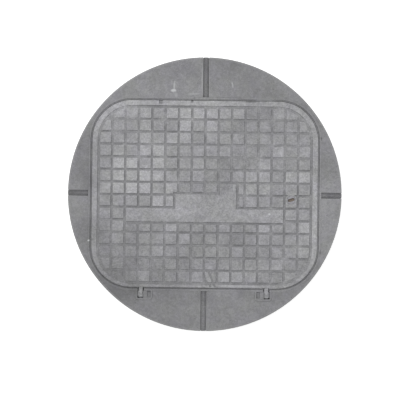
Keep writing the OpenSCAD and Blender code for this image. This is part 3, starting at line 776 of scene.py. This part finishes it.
# %% Beads along the frame's walls
BEAD_STEP = 2 * MM
WALL_HEIGHT = TOP - 8 * MM
LUG_ROOM = 0.3 * MM
HINGE_SIDE = -0.9
frame_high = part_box("lid_frame")[1]
walls = tree_of("lid_frame")
wall_x = walls.ray_cast(Vector((0, 0, WALL_HEIGHT)), Vector((1, 0, 0)))[0].x
lid_gap = wall_x - lid_high.x
lug_sides = [abs(co.x) for co in lid_points if co.y < hinge_edge - MM]
slot_start, slot_end = min(lug_sides) - LUG_ROOM, max(lug_sides) + LUG_ROOM
print("lid gap", round(lid_gap / MM, 2), "mm, corner", round(lid_corner / MM, 1), "mm")


def line_around(grow):
    """Points round the lid's outline, grown by the given width, each with its outward direction."""
    corner = lid_corner + grow
    quarter = math.pi / 2
    line = []
    for turn, (side, end) in enumerate(((1, 1), (-1, 1), (-1, -1), (1, -1))):
        centre = Vector((side * (lid_high.x - lid_corner), end * (lid_high.y - lid_corner), 0))
        steps = math.ceil(quarter * corner / BEAD_STEP)
        for k in range(steps + 1):
            angle = quarter * (turn + k / steps)
            outward = Vector((math.cos(angle), math.sin(angle), 0))
            line.append((centre + corner * outward, outward))
        along = Vector((-outward.y, outward.x, 0))
        straight = 2 * abs(along.dot(centre))
        steps = math.ceil(straight / BEAD_STEP)
        line += [(centre + corner * outward + along * straight * k / steps, outward) for k in range(1, steps)]
    return line


def around_lid(grow, radius, top):
    """Places, radii and tops along the inner side of a line round the lid, open at the lugs' slots."""
    stretches = [[]]
    for point, outward in line_around(grow):
        if point.y < HINGE_SIDE * lid_high.y and slot_start < abs(point.x) < slot_end:
            if stretches[-1]:
                stretches.append([])
        else:
            stretches[-1].append((point - outward * radius(outward), radius(outward), top(outward)))
    stretches[-1] += stretches.pop(0)
    return stretches


# %% Rough beads
THINNER_OVER = 4 * MM
LOWER_OVER = 9 * MM


def drift(point, distance):
    """A value from 0 to 1 that changes smoothly over the distance."""
    return 0.5 + 0.5 * noise.noise(point / distance)


def rough_bead(name, stretches, rough, slot, body="surround"):
    """Beads of packed grit, from lists of places, radii and tops, thinner and lower in places."""
    uneven = []
    for stretch in stretches:
        uneven.append([])
        for point, radius, top in stretch:
            thick = radius * (1 - rough * drift(point, THINNER_OVER))
            sink = rough * MM * drift(point, LOWER_OVER)
            uneven[-1].append((Vector((point.x, point.y, top - thick - sink)), thick))
    new_piece(tubes(name, uneven), body, slot)


# %% Grit in the gap and cement at the seat
ROOM_AT_SIDES = 0.4 * MM
ROOM_AT_FREE_EDGE = 0.95 * MM
ROOM_AT_HINGES = 1.2 * MM
GRIT_DROP = 1.3 * MM
FREE_GRIT_DROP = 0.5 * MM
HINGE_GRIT_DROP = 3.0 * MM


def toward_edge(outward, at_sides, at_free_edge, at_hinges):
    """A value that changes smoothly from the lid's sides to its free edge and its hinge edge."""
    return at_sides + abs(outward.y) * ((at_free_edge if outward.y > 0 else at_hinges) - at_sides)


def grit_radius(outward):
    """Half of the gap that the lid's swing leaves free."""
    return (lid_gap - toward_edge(outward, ROOM_AT_SIDES, ROOM_AT_FREE_EDGE, ROOM_AT_HINGES)) / 2


def grit_top(outward):
    return TOP - toward_edge(outward, GRIT_DROP, FREE_GRIT_DROP, HINGE_GRIT_DROP)


# A smaller bead lies high on the wall at the hinges, above the main one.
WALL_BEAD = 0.6 * MM
WALL_BEAD_DROP = 0.8 * MM
CORNER_END = -0.75
SEAT_BEAD = 0.5 * MM
SEAT_DROP = 0.05 * MM


def even_bead(grow, radius, drop):
    return around_lid(grow, lambda outward: radius, lambda outward: TOP - drop)


def at_hinges(knot):
    return knot[0].y < CORNER_END * lid_high.y


high_grit = [list(run) for stretch in even_bead(lid_gap, WALL_BEAD, WALL_BEAD_DROP)
             for low_side, run in groupby(stretch, at_hinges) if low_side]
rough_bead("hinge_grit", high_grit, 0.15, "surround_concrete")
rough_bead("gap_grit", around_lid(lid_gap, grit_radius, grit_top), 0.25, "surround_concrete")
seat_line = frame_high.x - lid_high.x + SEAT_BEAD
rough_bead("seat_cement", even_bead(seat_line, SEAT_BEAD, SEAT_DROP), 0.05, "surround_concrete")

# %% Dirt that clings to the lid
# At the hinges the lid's edge turns down into the gap as it opens, so the grit in the gap stays
# low there, and more clings to the lid's own edge. A little clings all round it, except at the
# free edge's notches.
CLING_AT_SIDES = 0.3 * MM
CLING_AT_FREE_EDGE = 0.55 * MM
CLING_AT_HINGES = 1.3 * MM
CLING_SUNK = 0.4
CLING_DROP = 0.7 * MM
BARE = 0.2 * MM
lid_walls = tree_of("lid")
clinging, notches = [[]], []
for point, outward in line_around(0.0):
    radius = toward_edge(outward, CLING_AT_SIDES, CLING_AT_FREE_EDGE, CLING_AT_HINGES)
    look_from = Vector((point.x, point.y, TOP - 2 * MM))
    if lid_walls.find_nearest(look_from)[3] > BARE:
        if clinging[-1]:
            clinging.append([])
            if point.y > 0:
                notches.append(look_from)
    else:
        clinging[-1].append((point + outward * (1 - 2 * CLING_SUNK) * radius, radius, TOP - CLING_DROP))
clinging[-1] += clinging.pop(0)
rough_bead("lid_grit", clinging, 0.2, "lid_iron", "lid")

# %% Dirt in the free edge's notches
# The notches are partly filled: the further one cuts into the lid, the lower its dirt lies.
BLOCK_CUTS = 6
BLOCK_UNEVEN = 0.6 * MM
BLOCK_PATCH = 3 * MM
NOTCH_DROP = 0.45
NOTCH_FLOOR = TOP - 5 * MM
INTO_NOTCH = 0.5 * MM
NOTCH_FOOT = 0.5 * MM


def block(work, low, high):
    """Adds a block from its low to its high corner, and gives its points."""
    size = Vector([abs(side) for side in high - low])
    place = Matrix.LocRotScale((low + high) / 2, None, size)
    return bmesh.ops.create_cube(work, size=1.0, matrix=place)["verts"]


def make_uneven(work, above):
    """Divides the blocks and lowers what lies above a height by an uneven amount."""
    bmesh.ops.subdivide_edges(work, edges=work.edges, cuts=BLOCK_CUTS, use_grid_fill=True)
    for corner in work.verts:
        if corner.co.z > above:
            corner.co.z -= BLOCK_UNEVEN * drift(corner.co, BLOCK_PATCH)


work = bmesh.new()
for mouth in notches:
    inside = mouth - Vector((0, INTO_NOTCH, 0))
    left, right = (lid_walls.ray_cast(inside, Vector((way, 0, 0)))[0].x for way in (-1, 1))
    reach = lid_walls.ray_cast(mouth, Vector((0, -1, 0)))[3]
    block(work, Vector((left, lid_high.y - reach, NOTCH_FLOOR)),
          Vector((right, lid_high.y, TOP - NOTCH_DROP * reach)))
    print("notch from", round(left / MM, 1), "to", round(right / MM, 1), "mm, cut in",
          round(reach / MM, 1), "mm")
make_uneven(work, NOTCH_FLOOR + NOTCH_FOOT)
new_piece(mesh_from(work, "notch_dirt"), "lid", "lid_iron", smooth=False)

# %% Dirt beside the mortar of the four joints
CHANNEL_BEAD = 1.65 * MM
CHANNEL_DEPTH = 1.6 * MM
ON_STRIP = 0.75


def beside_strip(node):
    """Places, radii and tops along both edges of a joint's mortar strip."""
    low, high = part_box(node)
    size = high - low
    along = Vector((1, 0, 0)) if size.x > size.y else Vector((0, 1, 0))
    across = Vector((along.y, along.x, 0))
    offset = across.dot(size) / 2 - ON_STRIP * CHANNEL_BEAD
    reach = along.dot(size) / 2 - MM
    steps = math.ceil(2 * reach / BEAD_STEP)
    edges = [middle_of(node) + side * offset * across for side in (-1, 1)]
    return [[(edge + along * reach * (2 * k / steps - 1), CHANNEL_BEAD, TOP - CHANNEL_DEPTH)
             for k in range(steps + 1)] for edge in edges]


channels = [stretch for node in strips for stretch in beside_strip(node)]
rough_bead("joint_dirt", channels, 0.25, "strip_filler")

# %% [markdown]
# ## Dirt at the hinges
# The two pockets of the hinges are packed with dirt, except where the lugs swing. It is made as
# plain blocks that end at the pocket's walls, which rays find in the frame's solid. What has
# caked on the lugs themselves goes with the lid, so it stays inside the circle that turns freely.

# %% Measures of the pockets
CAKED_ROUND = 10.25 * MM
CAKED_ROOM = 0.2 * MM
SIDE_CAKE = 1.6 * MM
LOOK_HEIGHT = TOP - 3 * MM
OFF_WALL = 2 * MM


def wall_from(start, direction):
    return walls.ray_cast(Vector(start), Vector(direction))[0]


clip_room = (pin_low.x, pin_middle.y, LOOK_HEIGHT)
beside_lug = (slot_end, pin_middle.y, LOOK_HEIGHT)
room_start, room_end = (wall_from(clip_room, (way, 0, 0)).x for way in (-1, 1))
pocket_back, pocket_front = (wall_from(clip_room, (0, way, 0)).y for way in (-1, 1))
pocket_outer = wall_from(beside_lug, (1, 0, 0)).x
pocket_floor = wall_from((room_start + MM, pocket_back + OFF_WALL, LOOK_HEIGHT), (0, 0, -1)).z
print("pocket", round((pocket_outer - room_start) / MM, 1), "mm long,",
      round((pocket_front - pocket_back) / MM, 1), "mm wide")

# %% Dirt in the pockets and in the prising recess
# It fills the room round the pins' clips, covers the ears, and packs the corners that the lugs
# never reach. Behind each lug it slopes down, because the lug leans back as the lid opens. The
# shallow recess in the frame's wall, where a bar lifts the lid, is full.
CLIP_ROOM_TOP = TOP - 3.6 * MM
CLIP_ROOM_END = 4.0 * MM
EAR_TOP = TOP - 0.5 * MM
BESIDE_LUG_TOP = TOP - 1.8 * MM
BEHIND_LUG_TOP = TOP - 0.2 * MM
SLOPE_TOP = TOP - 1.9 * MM
UNEVEN_ABOVE = TOP - 10 * MM
RECESS_TOP = TOP - 0.3 * MM
RECESS_CORNERS = (TOP - 5 * MM, TOP - 2 * MM)
behind_lug = pin_middle.y - CAKED_ROUND - CAKED_ROOM
outer_start = slot_end + SIDE_CAKE + CAKED_ROOM
# Each block: from and to across, from and to along, top at the back, top at the front
BLOCKS = (
    (room_start, room_end, pocket_back + CLIP_ROOM_END, pocket_front, CLIP_ROOM_TOP, CLIP_ROOM_TOP),
    (room_start, room_end, pocket_back, pocket_back + CLIP_ROOM_END, EAR_TOP, CLIP_ROOM_TOP),
    (room_end, slot_start, pocket_back, pocket_front, EAR_TOP, EAR_TOP),
    (outer_start, pocket_outer, pocket_back, pocket_front, BESIDE_LUG_TOP, BESIDE_LUG_TOP),
    (slot_start, slot_end, pocket_back, behind_lug, BEHIND_LUG_TOP, SLOPE_TOP),
)
work = bmesh.new()
for side in (-1, 1):
    for start, end, back, front, back_top, front_top in BLOCKS:
        low, high = Vector((side * start, back, pocket_floor)), Vector((side * end, front, back_top))
        for corner in block(work, low, high):
            if corner.co.z > (low.z + high.z) / 2 and corner.co.y > (back + front) / 2:
                corner.co.z = front_top
wall_y = wall_from((0, 0, WALL_HEIGHT), (0, 1, 0)).y
recess = [corner.co for corner in frame["nodes"]["lid_frame"].data.vertices
          if corner.co.y > wall_y - SAME_POINT and RECESS_CORNERS[0] < corner.co.z < RECESS_CORNERS[1]]
block(work, Vector((min(co.x for co in recess), wall_y, min(co.z for co in recess))),
      Vector((max(co.x for co in recess), frame_high.y, RECESS_TOP)))
make_uneven(work, UNEVEN_ABOVE)
new_piece(mesh_from(work, "pocket_dirt"), "surround", "surround_concrete", smooth=False)

# %% Dirt caked on the lugs
# It rounds off the lugs' ends and lies against their outer sides. Its side slabs end a little
# lower than the end slabs, so that no two of their faces share a plane.
CAKED_TOP = TOP - 0.55 * MM
CAKED_START = 4.4 * MM
CAKED_EDGE = 2.2 * MM
CAKED_INSET = 0.15 * MM
SIDE_TOP = TOP - 0.7 * MM
SIDE_ROUND = 9.8 * MM
CORNER_ROOM = 1.3 * MM
SIDE_START = 3 * MM
SIDE_EDGE = 0.7 * MM
SLAB_SIDE = 0.9


def caked(start, end, reach, planes):
    """Round slabs about the pins' line, from one width to another on both sides, cut by planes."""
    slabs = bmesh.new()
    for side in (-1, 1):
        middle = Vector((side * (start + end) / 2, pin_middle.y, pin_middle.z))
        lying = Matrix.LocRotScale(middle, Matrix.Rotation(math.pi / 2, 3, "Y"), None)
        bmesh.ops.create_cone(slabs, cap_ends=True, segments=64, radius1=reach, radius2=reach,
                              depth=end - start, matrix=lying)
    for plane, normal in planes:
        everything = slabs.verts[:] + slabs.edges[:] + slabs.faces[:]
        cut = bmesh.ops.bisect_plane(slabs, geom=everything, plane_co=plane, plane_no=normal,
                                     clear_outer=True)
        rim = [piece for piece in cut["geom_cut"] if isinstance(piece, bmesh.types.BMEdge)]
        bmesh.ops.edgeloop_fill(slabs, edges=rim)
    return slabs


up, backward = Vector((0, 0, 1)), Vector((0, -1, 0))
past_pin = Vector((0, pin_middle.y, pin_middle.z)) + (backward + up).normalized() * CAKED_START
over_pin = Vector((0, 0, pin_middle.z + pin_reach + CAKED_ROOM))
behind_wall = Vector((0, pocket_front - CORNER_ROOM, 0))
inset = LUG_ROOM + CAKED_INSET
work = caked(slot_start + inset, slot_end - inset, CAKED_ROUND,
             ((up * CAKED_TOP, up), (past_pin, -backward - up)))
outline = [edge for edge in sharp_edges(work)
           if any(abs(face.normal.x) > SLAB_SIDE for face in edge.link_faces)]
round_edges(work, outline, CAKED_EDGE, 3)
beside = caked(slot_end - SIDE_START, slot_end + SIDE_CAKE, SIDE_ROUND,
               ((up * SIDE_TOP, up), (over_pin, -up), (behind_wall, -backward)))
top_edges = [edge for edge in sharp_edges(beside) if heights(edge)[0] > over_pin.z + MM]
round_edges(beside, top_edges, SIDE_EDGE, 2)
sides = mesh_from(beside, "lug_sides")
work.from_mesh(sides)
bpy.data.meshes.remove(sides)
bmesh.ops.recalc_face_normals(work, faces=work.faces)
new_piece(mesh_from(work, "lug_dirt"), "lid", "surround_concrete")

# %% [markdown]
# ## Finishes
# Each finish starts from the plain colour that its material shows on the street, then adds what
# has happened to it: dust that lies in the low places, brown stain where water stands, and the
# grain of the casting or the stone.
# Some finishes also carry painted light and shade: paler concrete arrises, pale marks at the lugs' tips and
# along the hinge rim, and darker areas along the lid's outline.

# %% Finish helpers
COAT = grey(0.035, 0.02)
COAT_FADED = grey(0.085, 0.02)
# The pale marks' colour: chalk on the scuffs, painted light at the lugs' tips and the hinge rim.
CHALK_AND_PAINTED_LIGHT = grey(0.52, -0.02)
RUST = (0.105, 0.062, 0.040, 1)
WARM_GRIME = (0.992, 1.0, 0.995, 1)
COOL_GRIME = (1.010, 1.0, 1.078, 1)
GRIME_SEED = 3.7
BROAD_GRIME = 0.6
RUST_STRENGTH = 0.55
SKIN_IOR = 1.45


def start(name):
    """A new material with its point in space, its shader and its tree."""
    paint = bpy.data.materials.new(name)
    paint.use_nodes = True
    tree = paint.node_tree
    tree.nodes.clear()
    place = add(tree, "ShaderNodeTexCoord").outputs["Object"]
    skin = add(tree, "ShaderNodeBsdfPrincipled", {"IOR": SKIN_IOR})
    add(tree, "ShaderNodeOutputMaterial", {"Surface": skin.outputs[0]})
    return paint, tree, place, skin.inputs


def use(tree, group, **sockets):
    """An instance of one of the shared effects, with its outputs."""
    made = add(tree, "ShaderNodeGroup", node_tree=group)
    for label, value in sockets.items():
        if isinstance(value, bpy.types.NodeSocket):
            tree.links.new(value, made.inputs[label])
        else:
            made.inputs[label].default_value = value
    return made.outputs


def stored(tree, name):
    return add(tree, "ShaderNodeAttribute", attribute_name=name).outputs["Fac"]


def level(tree, *factors):
    """Multiplies several brightness factors together."""
    value = factors[0]
    for factor in factors[1:]:
        value = calc(tree, "MULTIPLY", value, factor)
    return value


def swing(tree, mask, low, high):
    """Maps a 0 to 1 mask to a brightness factor between low and high."""
    return add(tree, "ShaderNodeMapRange", {"Value": mask, "To Min": low, "To Max": high}).outputs["Result"]


def tinted(tree, value, tint):
    """A colour of the given tint, scaled by a brightness value."""
    plain = add(tree, "ShaderNodeCombineColor", {0: value, 1: value, 2: value}).outputs[0]
    return blend_colors(tree, 1.0, plain, tint, "MULTIPLY")


def patchy(tree, place, size, seed):
    """A mask of soft patches."""
    return use(tree, patches, Place=place, Size=size, Seed=seed)["Value"]


def weathered(tree, place, value):
    """A grey of the given brightness that goes from a cool to a warm cast, as street grime does."""
    broad, small = patchy(tree, place, 45.0, GRIME_SEED), patchy(tree, place, 12.0, GRIME_SEED + 4.5)
    mixed = calc(tree, "ADD", calc(tree, "MULTIPLY", broad, BROAD_GRIME),
                 calc(tree, "MULTIPLY", small, 1 - BROAD_GRIME))
    return tinted(tree, value, blend_colors(tree, mixed, WARM_GRIME, COOL_GRIME))


def walked_on_and_shaded(tree, place):
    """How feet and rain have changed the brightness here, with painted shade along the lid's outline."""
    return use(tree, footfall_and_painted_shade, Place=place)["Value"]


def marked(tree, place, color):
    """The colour with the pale marks over it, some of them painted light."""
    return blend_colors(tree, use(tree, marks, Place=place)["Mask"], color, CHALK_AND_PAINTED_LIGHT)


def pitted(tree, holes, strength, color, hole_color):
    return blend_colors(tree, calc(tree, "MULTIPLY", holes, strength), color, hole_color)


def coat_color(tree, place, size=40.0):
    """The dark coat with its faded patches and its rust."""
    state = use(tree, old_coat, Place=place, Size=size)
    return blend_colors(tree, calc(tree, "MULTIPLY", state["Rust"], RUST_STRENGTH),
                        blend_colors(tree, state["Fade"], COAT, COAT_FADED), RUST)


def relief(tree, *layers):
    """Stacks bump layers, each a height mask and its depth in metres."""
    normal = None
    for height, depth in layers:
        sockets = {"Height": height, "Distance": depth, "Strength": 1.0}
        if normal:
            sockets["Normal"] = normal
        normal = add(tree, "ShaderNodeBump", sockets).outputs["Normal"]
    return normal


def connect(tree, sockets, **values):
    for label, value in values.items():
        socket = sockets[label.replace("_", " ")]
        if isinstance(value, bpy.types.NodeSocket):
            tree.links.new(value, socket)
        else:
            socket.default_value = value


def dress(slot, paint):
    """Gives a finish to every piece that has the slot."""
    count = 0
    for piece in bpy.context.scene.objects:
        if piece.get("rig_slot") == slot:
            piece.data.materials.clear()
            piece.data.materials.append(paint)
            count += 1
    print(slot, "on", count, "pieces")


# %% Worn cast iron, for the lid
# The walked-on top is a dry grey with a fine sandy skin, and each square has its own tone. Pale
# street dust fills the grooves. The sides and the underside keep their dark dip coat.
IRON_GREY = 0.292
DUST = (0.268, 0.268, 0.277, 1)
# The scrapes take the dust colour, made darker by this factor.
SCRAPE_DARKER = 0.85
DUST_COVER = 0.85
PIT_BROWN = grey(0.10, 0.08)
COAT_FROM, COAT_FULL = TOP - 10 * MM, TOP - 14 * MM

paint, tree, place, sockets = start("worn_cast_iron")
sand = use(tree, grain, Place=place, Size=2.4)
fine = use(tree, grain, Place=place, Size=0.9, Seed=3.1)
broad = patchy(tree, place, 130.0, 2.3)
middling = patchy(tree, place, 22.0, 5.7)
blotches = patchy(tree, place, 9.0, 6.3)
brightness = level(tree, swing(tree, broad, 0.95, 1.05), swing(tree, middling, 0.91, 1.09),
                   swing(tree, blotches, 0.92, 1.08), swing(tree, stored(tree, "tone"), 0.87, 1.13),
                   swing(tree, sand["Specks"], 0.82, 1.18), walked_on_and_shaded(tree, place), IRON_GREY)
holes = use(tree, pits, Place=place, Size=7.0, Share=0.2)["Mask"]
top = marked(tree, place, pitted(tree, holes, 0.45, weathered(tree, place, brightness), PIT_BROWN))
settled = use(tree, dirt, Place=place, Top=TOP, Depth=4 * MM)["Mask"]
settled = calc(tree, "MAXIMUM", settled, stored(tree, "scrape"))
dusty = level(tree, swing(tree, middling, 0.9, 1.1), swing(tree, fine["Specks"], 0.85, 1.1))
dusty = tinted(tree, dusty, DUST)
dusty = tinted(tree, swing(tree, stored(tree, "scrape"), 1.0, SCRAPE_DARKER), dusty)
color = blend_colors(tree, calc(tree, "MULTIPLY", settled, DUST_COVER), top, dusty)
coated = spread(tree, height_of(tree, place), COAT_FROM, COAT_FULL)
coated = calc(tree, "MAXIMUM", coated, stored(tree, "coat"))
color = blend_colors(tree, coated, color, coat_color(tree, place))
rough = calc(tree, "ADD", swing(tree, middling, 0.55, 0.68), calc(tree, "MULTIPLY", settled, 0.2))
between_holes = calc(tree, "SUBTRACT", 1.0, holes)
normal = relief(tree, (sand["Height"], 0.35 * MM), (fine["Height"], 0.12 * MM), (between_holes, 0.4 * MM))
connect(tree, sockets, Base_Color=color, Roughness=rough, Normal=normal)
dress("lid_iron", paint)

# %% Cast iron of the frame
# Its narrow top lies in the same dust, wear and painted shade as the concrete around it. The
# pockets and the wall above the seal are grey with dust, and the dark coat only survives below
# the ledge.
STREET_GREY = 0.238
WALL_DUST = grey(0.22)
DUST_FROM, DUST_FULL = TOP - 2 * MM, TOP - 8 * MM
FRAME_COAT_FROM, FRAME_COAT_FULL = TOP - 24 * MM, TOP - 32 * MM

paint, tree, place, sockets = start("frame_cast_iron")
sand = use(tree, grain, Place=place, Size=2.0, Seed=8.0)
middling = patchy(tree, place, 18.0, 4.4)
brightness = level(tree, swing(tree, middling, 0.94, 1.06), swing(tree, sand["Specks"], 0.88, 1.12),
                   walked_on_and_shaded(tree, place), STREET_GREY)
top = marked(tree, place, weathered(tree, place, brightness))
height = height_of(tree, place)
dusty = blend_colors(tree, spread(tree, height, DUST_FROM, DUST_FULL), top, WALL_DUST)
coated = spread(tree, height, FRAME_COAT_FROM, FRAME_COAT_FULL)
color = blend_colors(tree, coated, dusty, coat_color(tree, place))
connect(tree, sockets, Base_Color=color, Roughness=swing(tree, middling, 0.65, 0.85),
        Normal=relief(tree, (sand["Height"], 0.3 * MM)))
dress("frame_iron", paint)

# %% Dipped cast iron, for the base plate
paint, tree, place, sockets = start("dipped_iron")
sand = use(tree, grain, Place=place, Size=2.2, Seed=4.0)
middling = patchy(tree, place, 45.0, 6.0)
shade = level(tree, swing(tree, middling, 0.8, 1.2), swing(tree, sand["Specks"], 0.85, 1.15), 1.2)
color = tinted(tree, shade, coat_color(tree, place, 60.0))
connect(tree, sockets, Base_Color=color, Roughness=swing(tree, middling, 0.45, 0.65),
        Normal=relief(tree, (sand["Height"], 0.3 * MM)))
dress("plate_iron", paint)

# %% Concrete of the surround
# Small stones and sand show in the worn skin, a few pits hold dark dirt, and the arrises are
# paler: partly rubbed, and partly a painted highlight where the rounded edges catch the light.
PIT_DARK = grey(0.07)
ARRIS_WEAR_AND_HIGHLIGHT = grey(0.36)
ARRIS_WEAR_AND_HIGHLIGHT_STRENGTH = 0.35

paint, tree, place, sockets = start("street_concrete")
stones = use(tree, grain, Place=place, Size=4.5, Seed=1.0)
sand = use(tree, grain, Place=place, Size=1.6, Seed=2.0)
broad = patchy(tree, place, 110.0, 9.0)
middling = patchy(tree, place, 18.0, 4.4)
brightness = level(tree, swing(tree, broad, 0.95, 1.05), swing(tree, middling, 0.94, 1.06),
                   swing(tree, stones["Specks"], 0.92, 1.08), swing(tree, sand["Specks"], 0.90, 1.10),
                   walked_on_and_shaded(tree, place), STREET_GREY)
holes = use(tree, pits, Place=place, Size=11.0, Share=0.25, Seed=3.0)["Mask"]
top = pitted(tree, holes, 0.55, marked(tree, place, weathered(tree, place, brightness)), PIT_DARK)
# The bevelled faces are paler: wear together with a painted highlight.
arris_wear_and_highlight = calc(tree, "MULTIPLY", stored(tree, "edge"), ARRIS_WEAR_AND_HIGHLIGHT_STRENGTH)
between_holes = calc(tree, "SUBTRACT", 1.0, holes)
normal = relief(tree, (stones["Height"], 0.25 * MM), (sand["Height"], 0.3 * MM), (between_holes, 0.6 * MM))
connect(tree, sockets, Base_Color=blend_colors(tree, arris_wear_and_highlight, top, ARRIS_WEAR_AND_HIGHLIGHT), Roughness=0.88, Normal=normal)
dress("surround_concrete", paint)

# %% Mortar of the joints
# The joint between the hinges dried paler than the other three.
MORTAR_GREY = 0.175
HINGE_JOINT = (0, -285 * MM, TOP)
HINGE_JOINT_REACH = 100 * MM
DRIER_MORTAR = 0.2

paint, tree, place, sockets = start("joint_mortar")
sand = use(tree, grain, Place=place, Size=1.8, Seed=6.5)
middling = patchy(tree, place, 25.0, 8.8)
drier = spread(tree, distance_to(tree, place, HINGE_JOINT), 0.0, HINGE_JOINT_REACH, 1 + DRIER_MORTAR, 1.0)
brightness = level(tree, swing(tree, middling, 0.85, 1.12), swing(tree, sand["Specks"], 0.85, 1.15),
                   drier, MORTAR_GREY)
connect(tree, sockets, Base_Color=weathered(tree, place, brightness), Roughness=0.9,
        Normal=relief(tree, (sand["Height"], 0.5 * MM)))
dress("strip_filler", paint)

# %% Metal finishes of the fittings
# Each line: the slot, the finish, its colour, its roughness, the size and the seed of its dull
# patches, and how dark the dullest patch is
METALS = (
    ("band_steel", "galvanized_band", grey(0.48, -0.01), 0.42, 14.0, 3.0, 0.7),
    ("zinc_steel", "zinc_plate", grey(0.60, 0.01), 0.32, 6.0, 5.0, 0.8),
    ("pin_steel", "ground_steel", grey(0.17), 0.62, 5.0, 7.0, 0.7),
    ("cam_steel", "black_steel", grey(0.22), 0.45, 12.0, 9.0, 0.8),
    ("insert_brass", "brass", (0.72, 0.55, 0.28, 1), 0.30, 6.0, 11.0, 0.8),
    ("bush_brass", "bronze", (0.62, 0.44, 0.26, 1), 0.35, 6.0, 13.0, 0.8),
)
for slot, name, metal, polish, size, seed, dull in METALS:
    paint, tree, place, sockets = start(name)
    middling = patchy(tree, place, size, seed)
    fine = use(tree, grain, Place=place, Size=0.8, Seed=seed + 1)
    shade = level(tree, swing(tree, middling, dull, 1.0), swing(tree, fine["Specks"], 0.9, 1.0))
    rough = calc(tree, "ADD", swing(tree, middling, polish, polish + 0.15),
                 calc(tree, "MULTIPLY", fine["Height"], 0.08))
    connect(tree, sockets, Base_Color=tinted(tree, shade, metal), Metallic=0.9, Roughness=rough,
            Normal=relief(tree, (fine["Height"], 0.06 * MM)))
    dress(slot, paint)

# %% Stained iron of the lock's spindle
# Its head is walked on like the lid around it, and brown dirt stays in the key slot.
HEAD_GREY = 0.27
SLOT_BROWN = (0.24, 0.20, 0.165, 1)
STAIN_FROM, STAIN_FULL = TOP - 1.2 * MM, TOP - 2.2 * MM

paint, tree, place, sockets = start("stained_iron")
fine = use(tree, grain, Place=place, Size=0.9, Seed=12.0)
middling = patchy(tree, place, 5.0, 2.0)
mottle = level(tree, swing(tree, middling, 0.85, 1.15), swing(tree, fine["Specks"], 0.85, 1.1))
head = tinted(tree, level(tree, mottle, walked_on_and_shaded(tree, place), HEAD_GREY), COOL_GRIME)
stained = spread(tree, height_of(tree, place), STAIN_FROM, STAIN_FULL)
color = blend_colors(tree, stained, head, tinted(tree, mottle, SLOT_BROWN))
connect(tree, sockets, Base_Color=color, Roughness=0.72, Metallic=0.1,
        Normal=relief(tree, (fine["Height"], 0.2 * MM)))
dress("spindle_iron", paint)

# %% Rubber of the seal
RUBBER = grey(0.028)

paint, tree, place, sockets = start("seal_rubber")
fine = use(tree, grain, Place=place, Size=1.2, Seed=14.0)
middling = patchy(tree, place, 35.0, 15.0)
shade = level(tree, swing(tree, middling, 0.8, 1.3), swing(tree, fine["Specks"], 0.9, 1.1))
connect(tree, sockets, Base_Color=tinted(tree, shade, RUBBER),
        Roughness=swing(tree, middling, 0.55, 0.75), Normal=relief(tree, (fine["Height"], 0.1 * MM)))
dress("seal_rubber", paint)
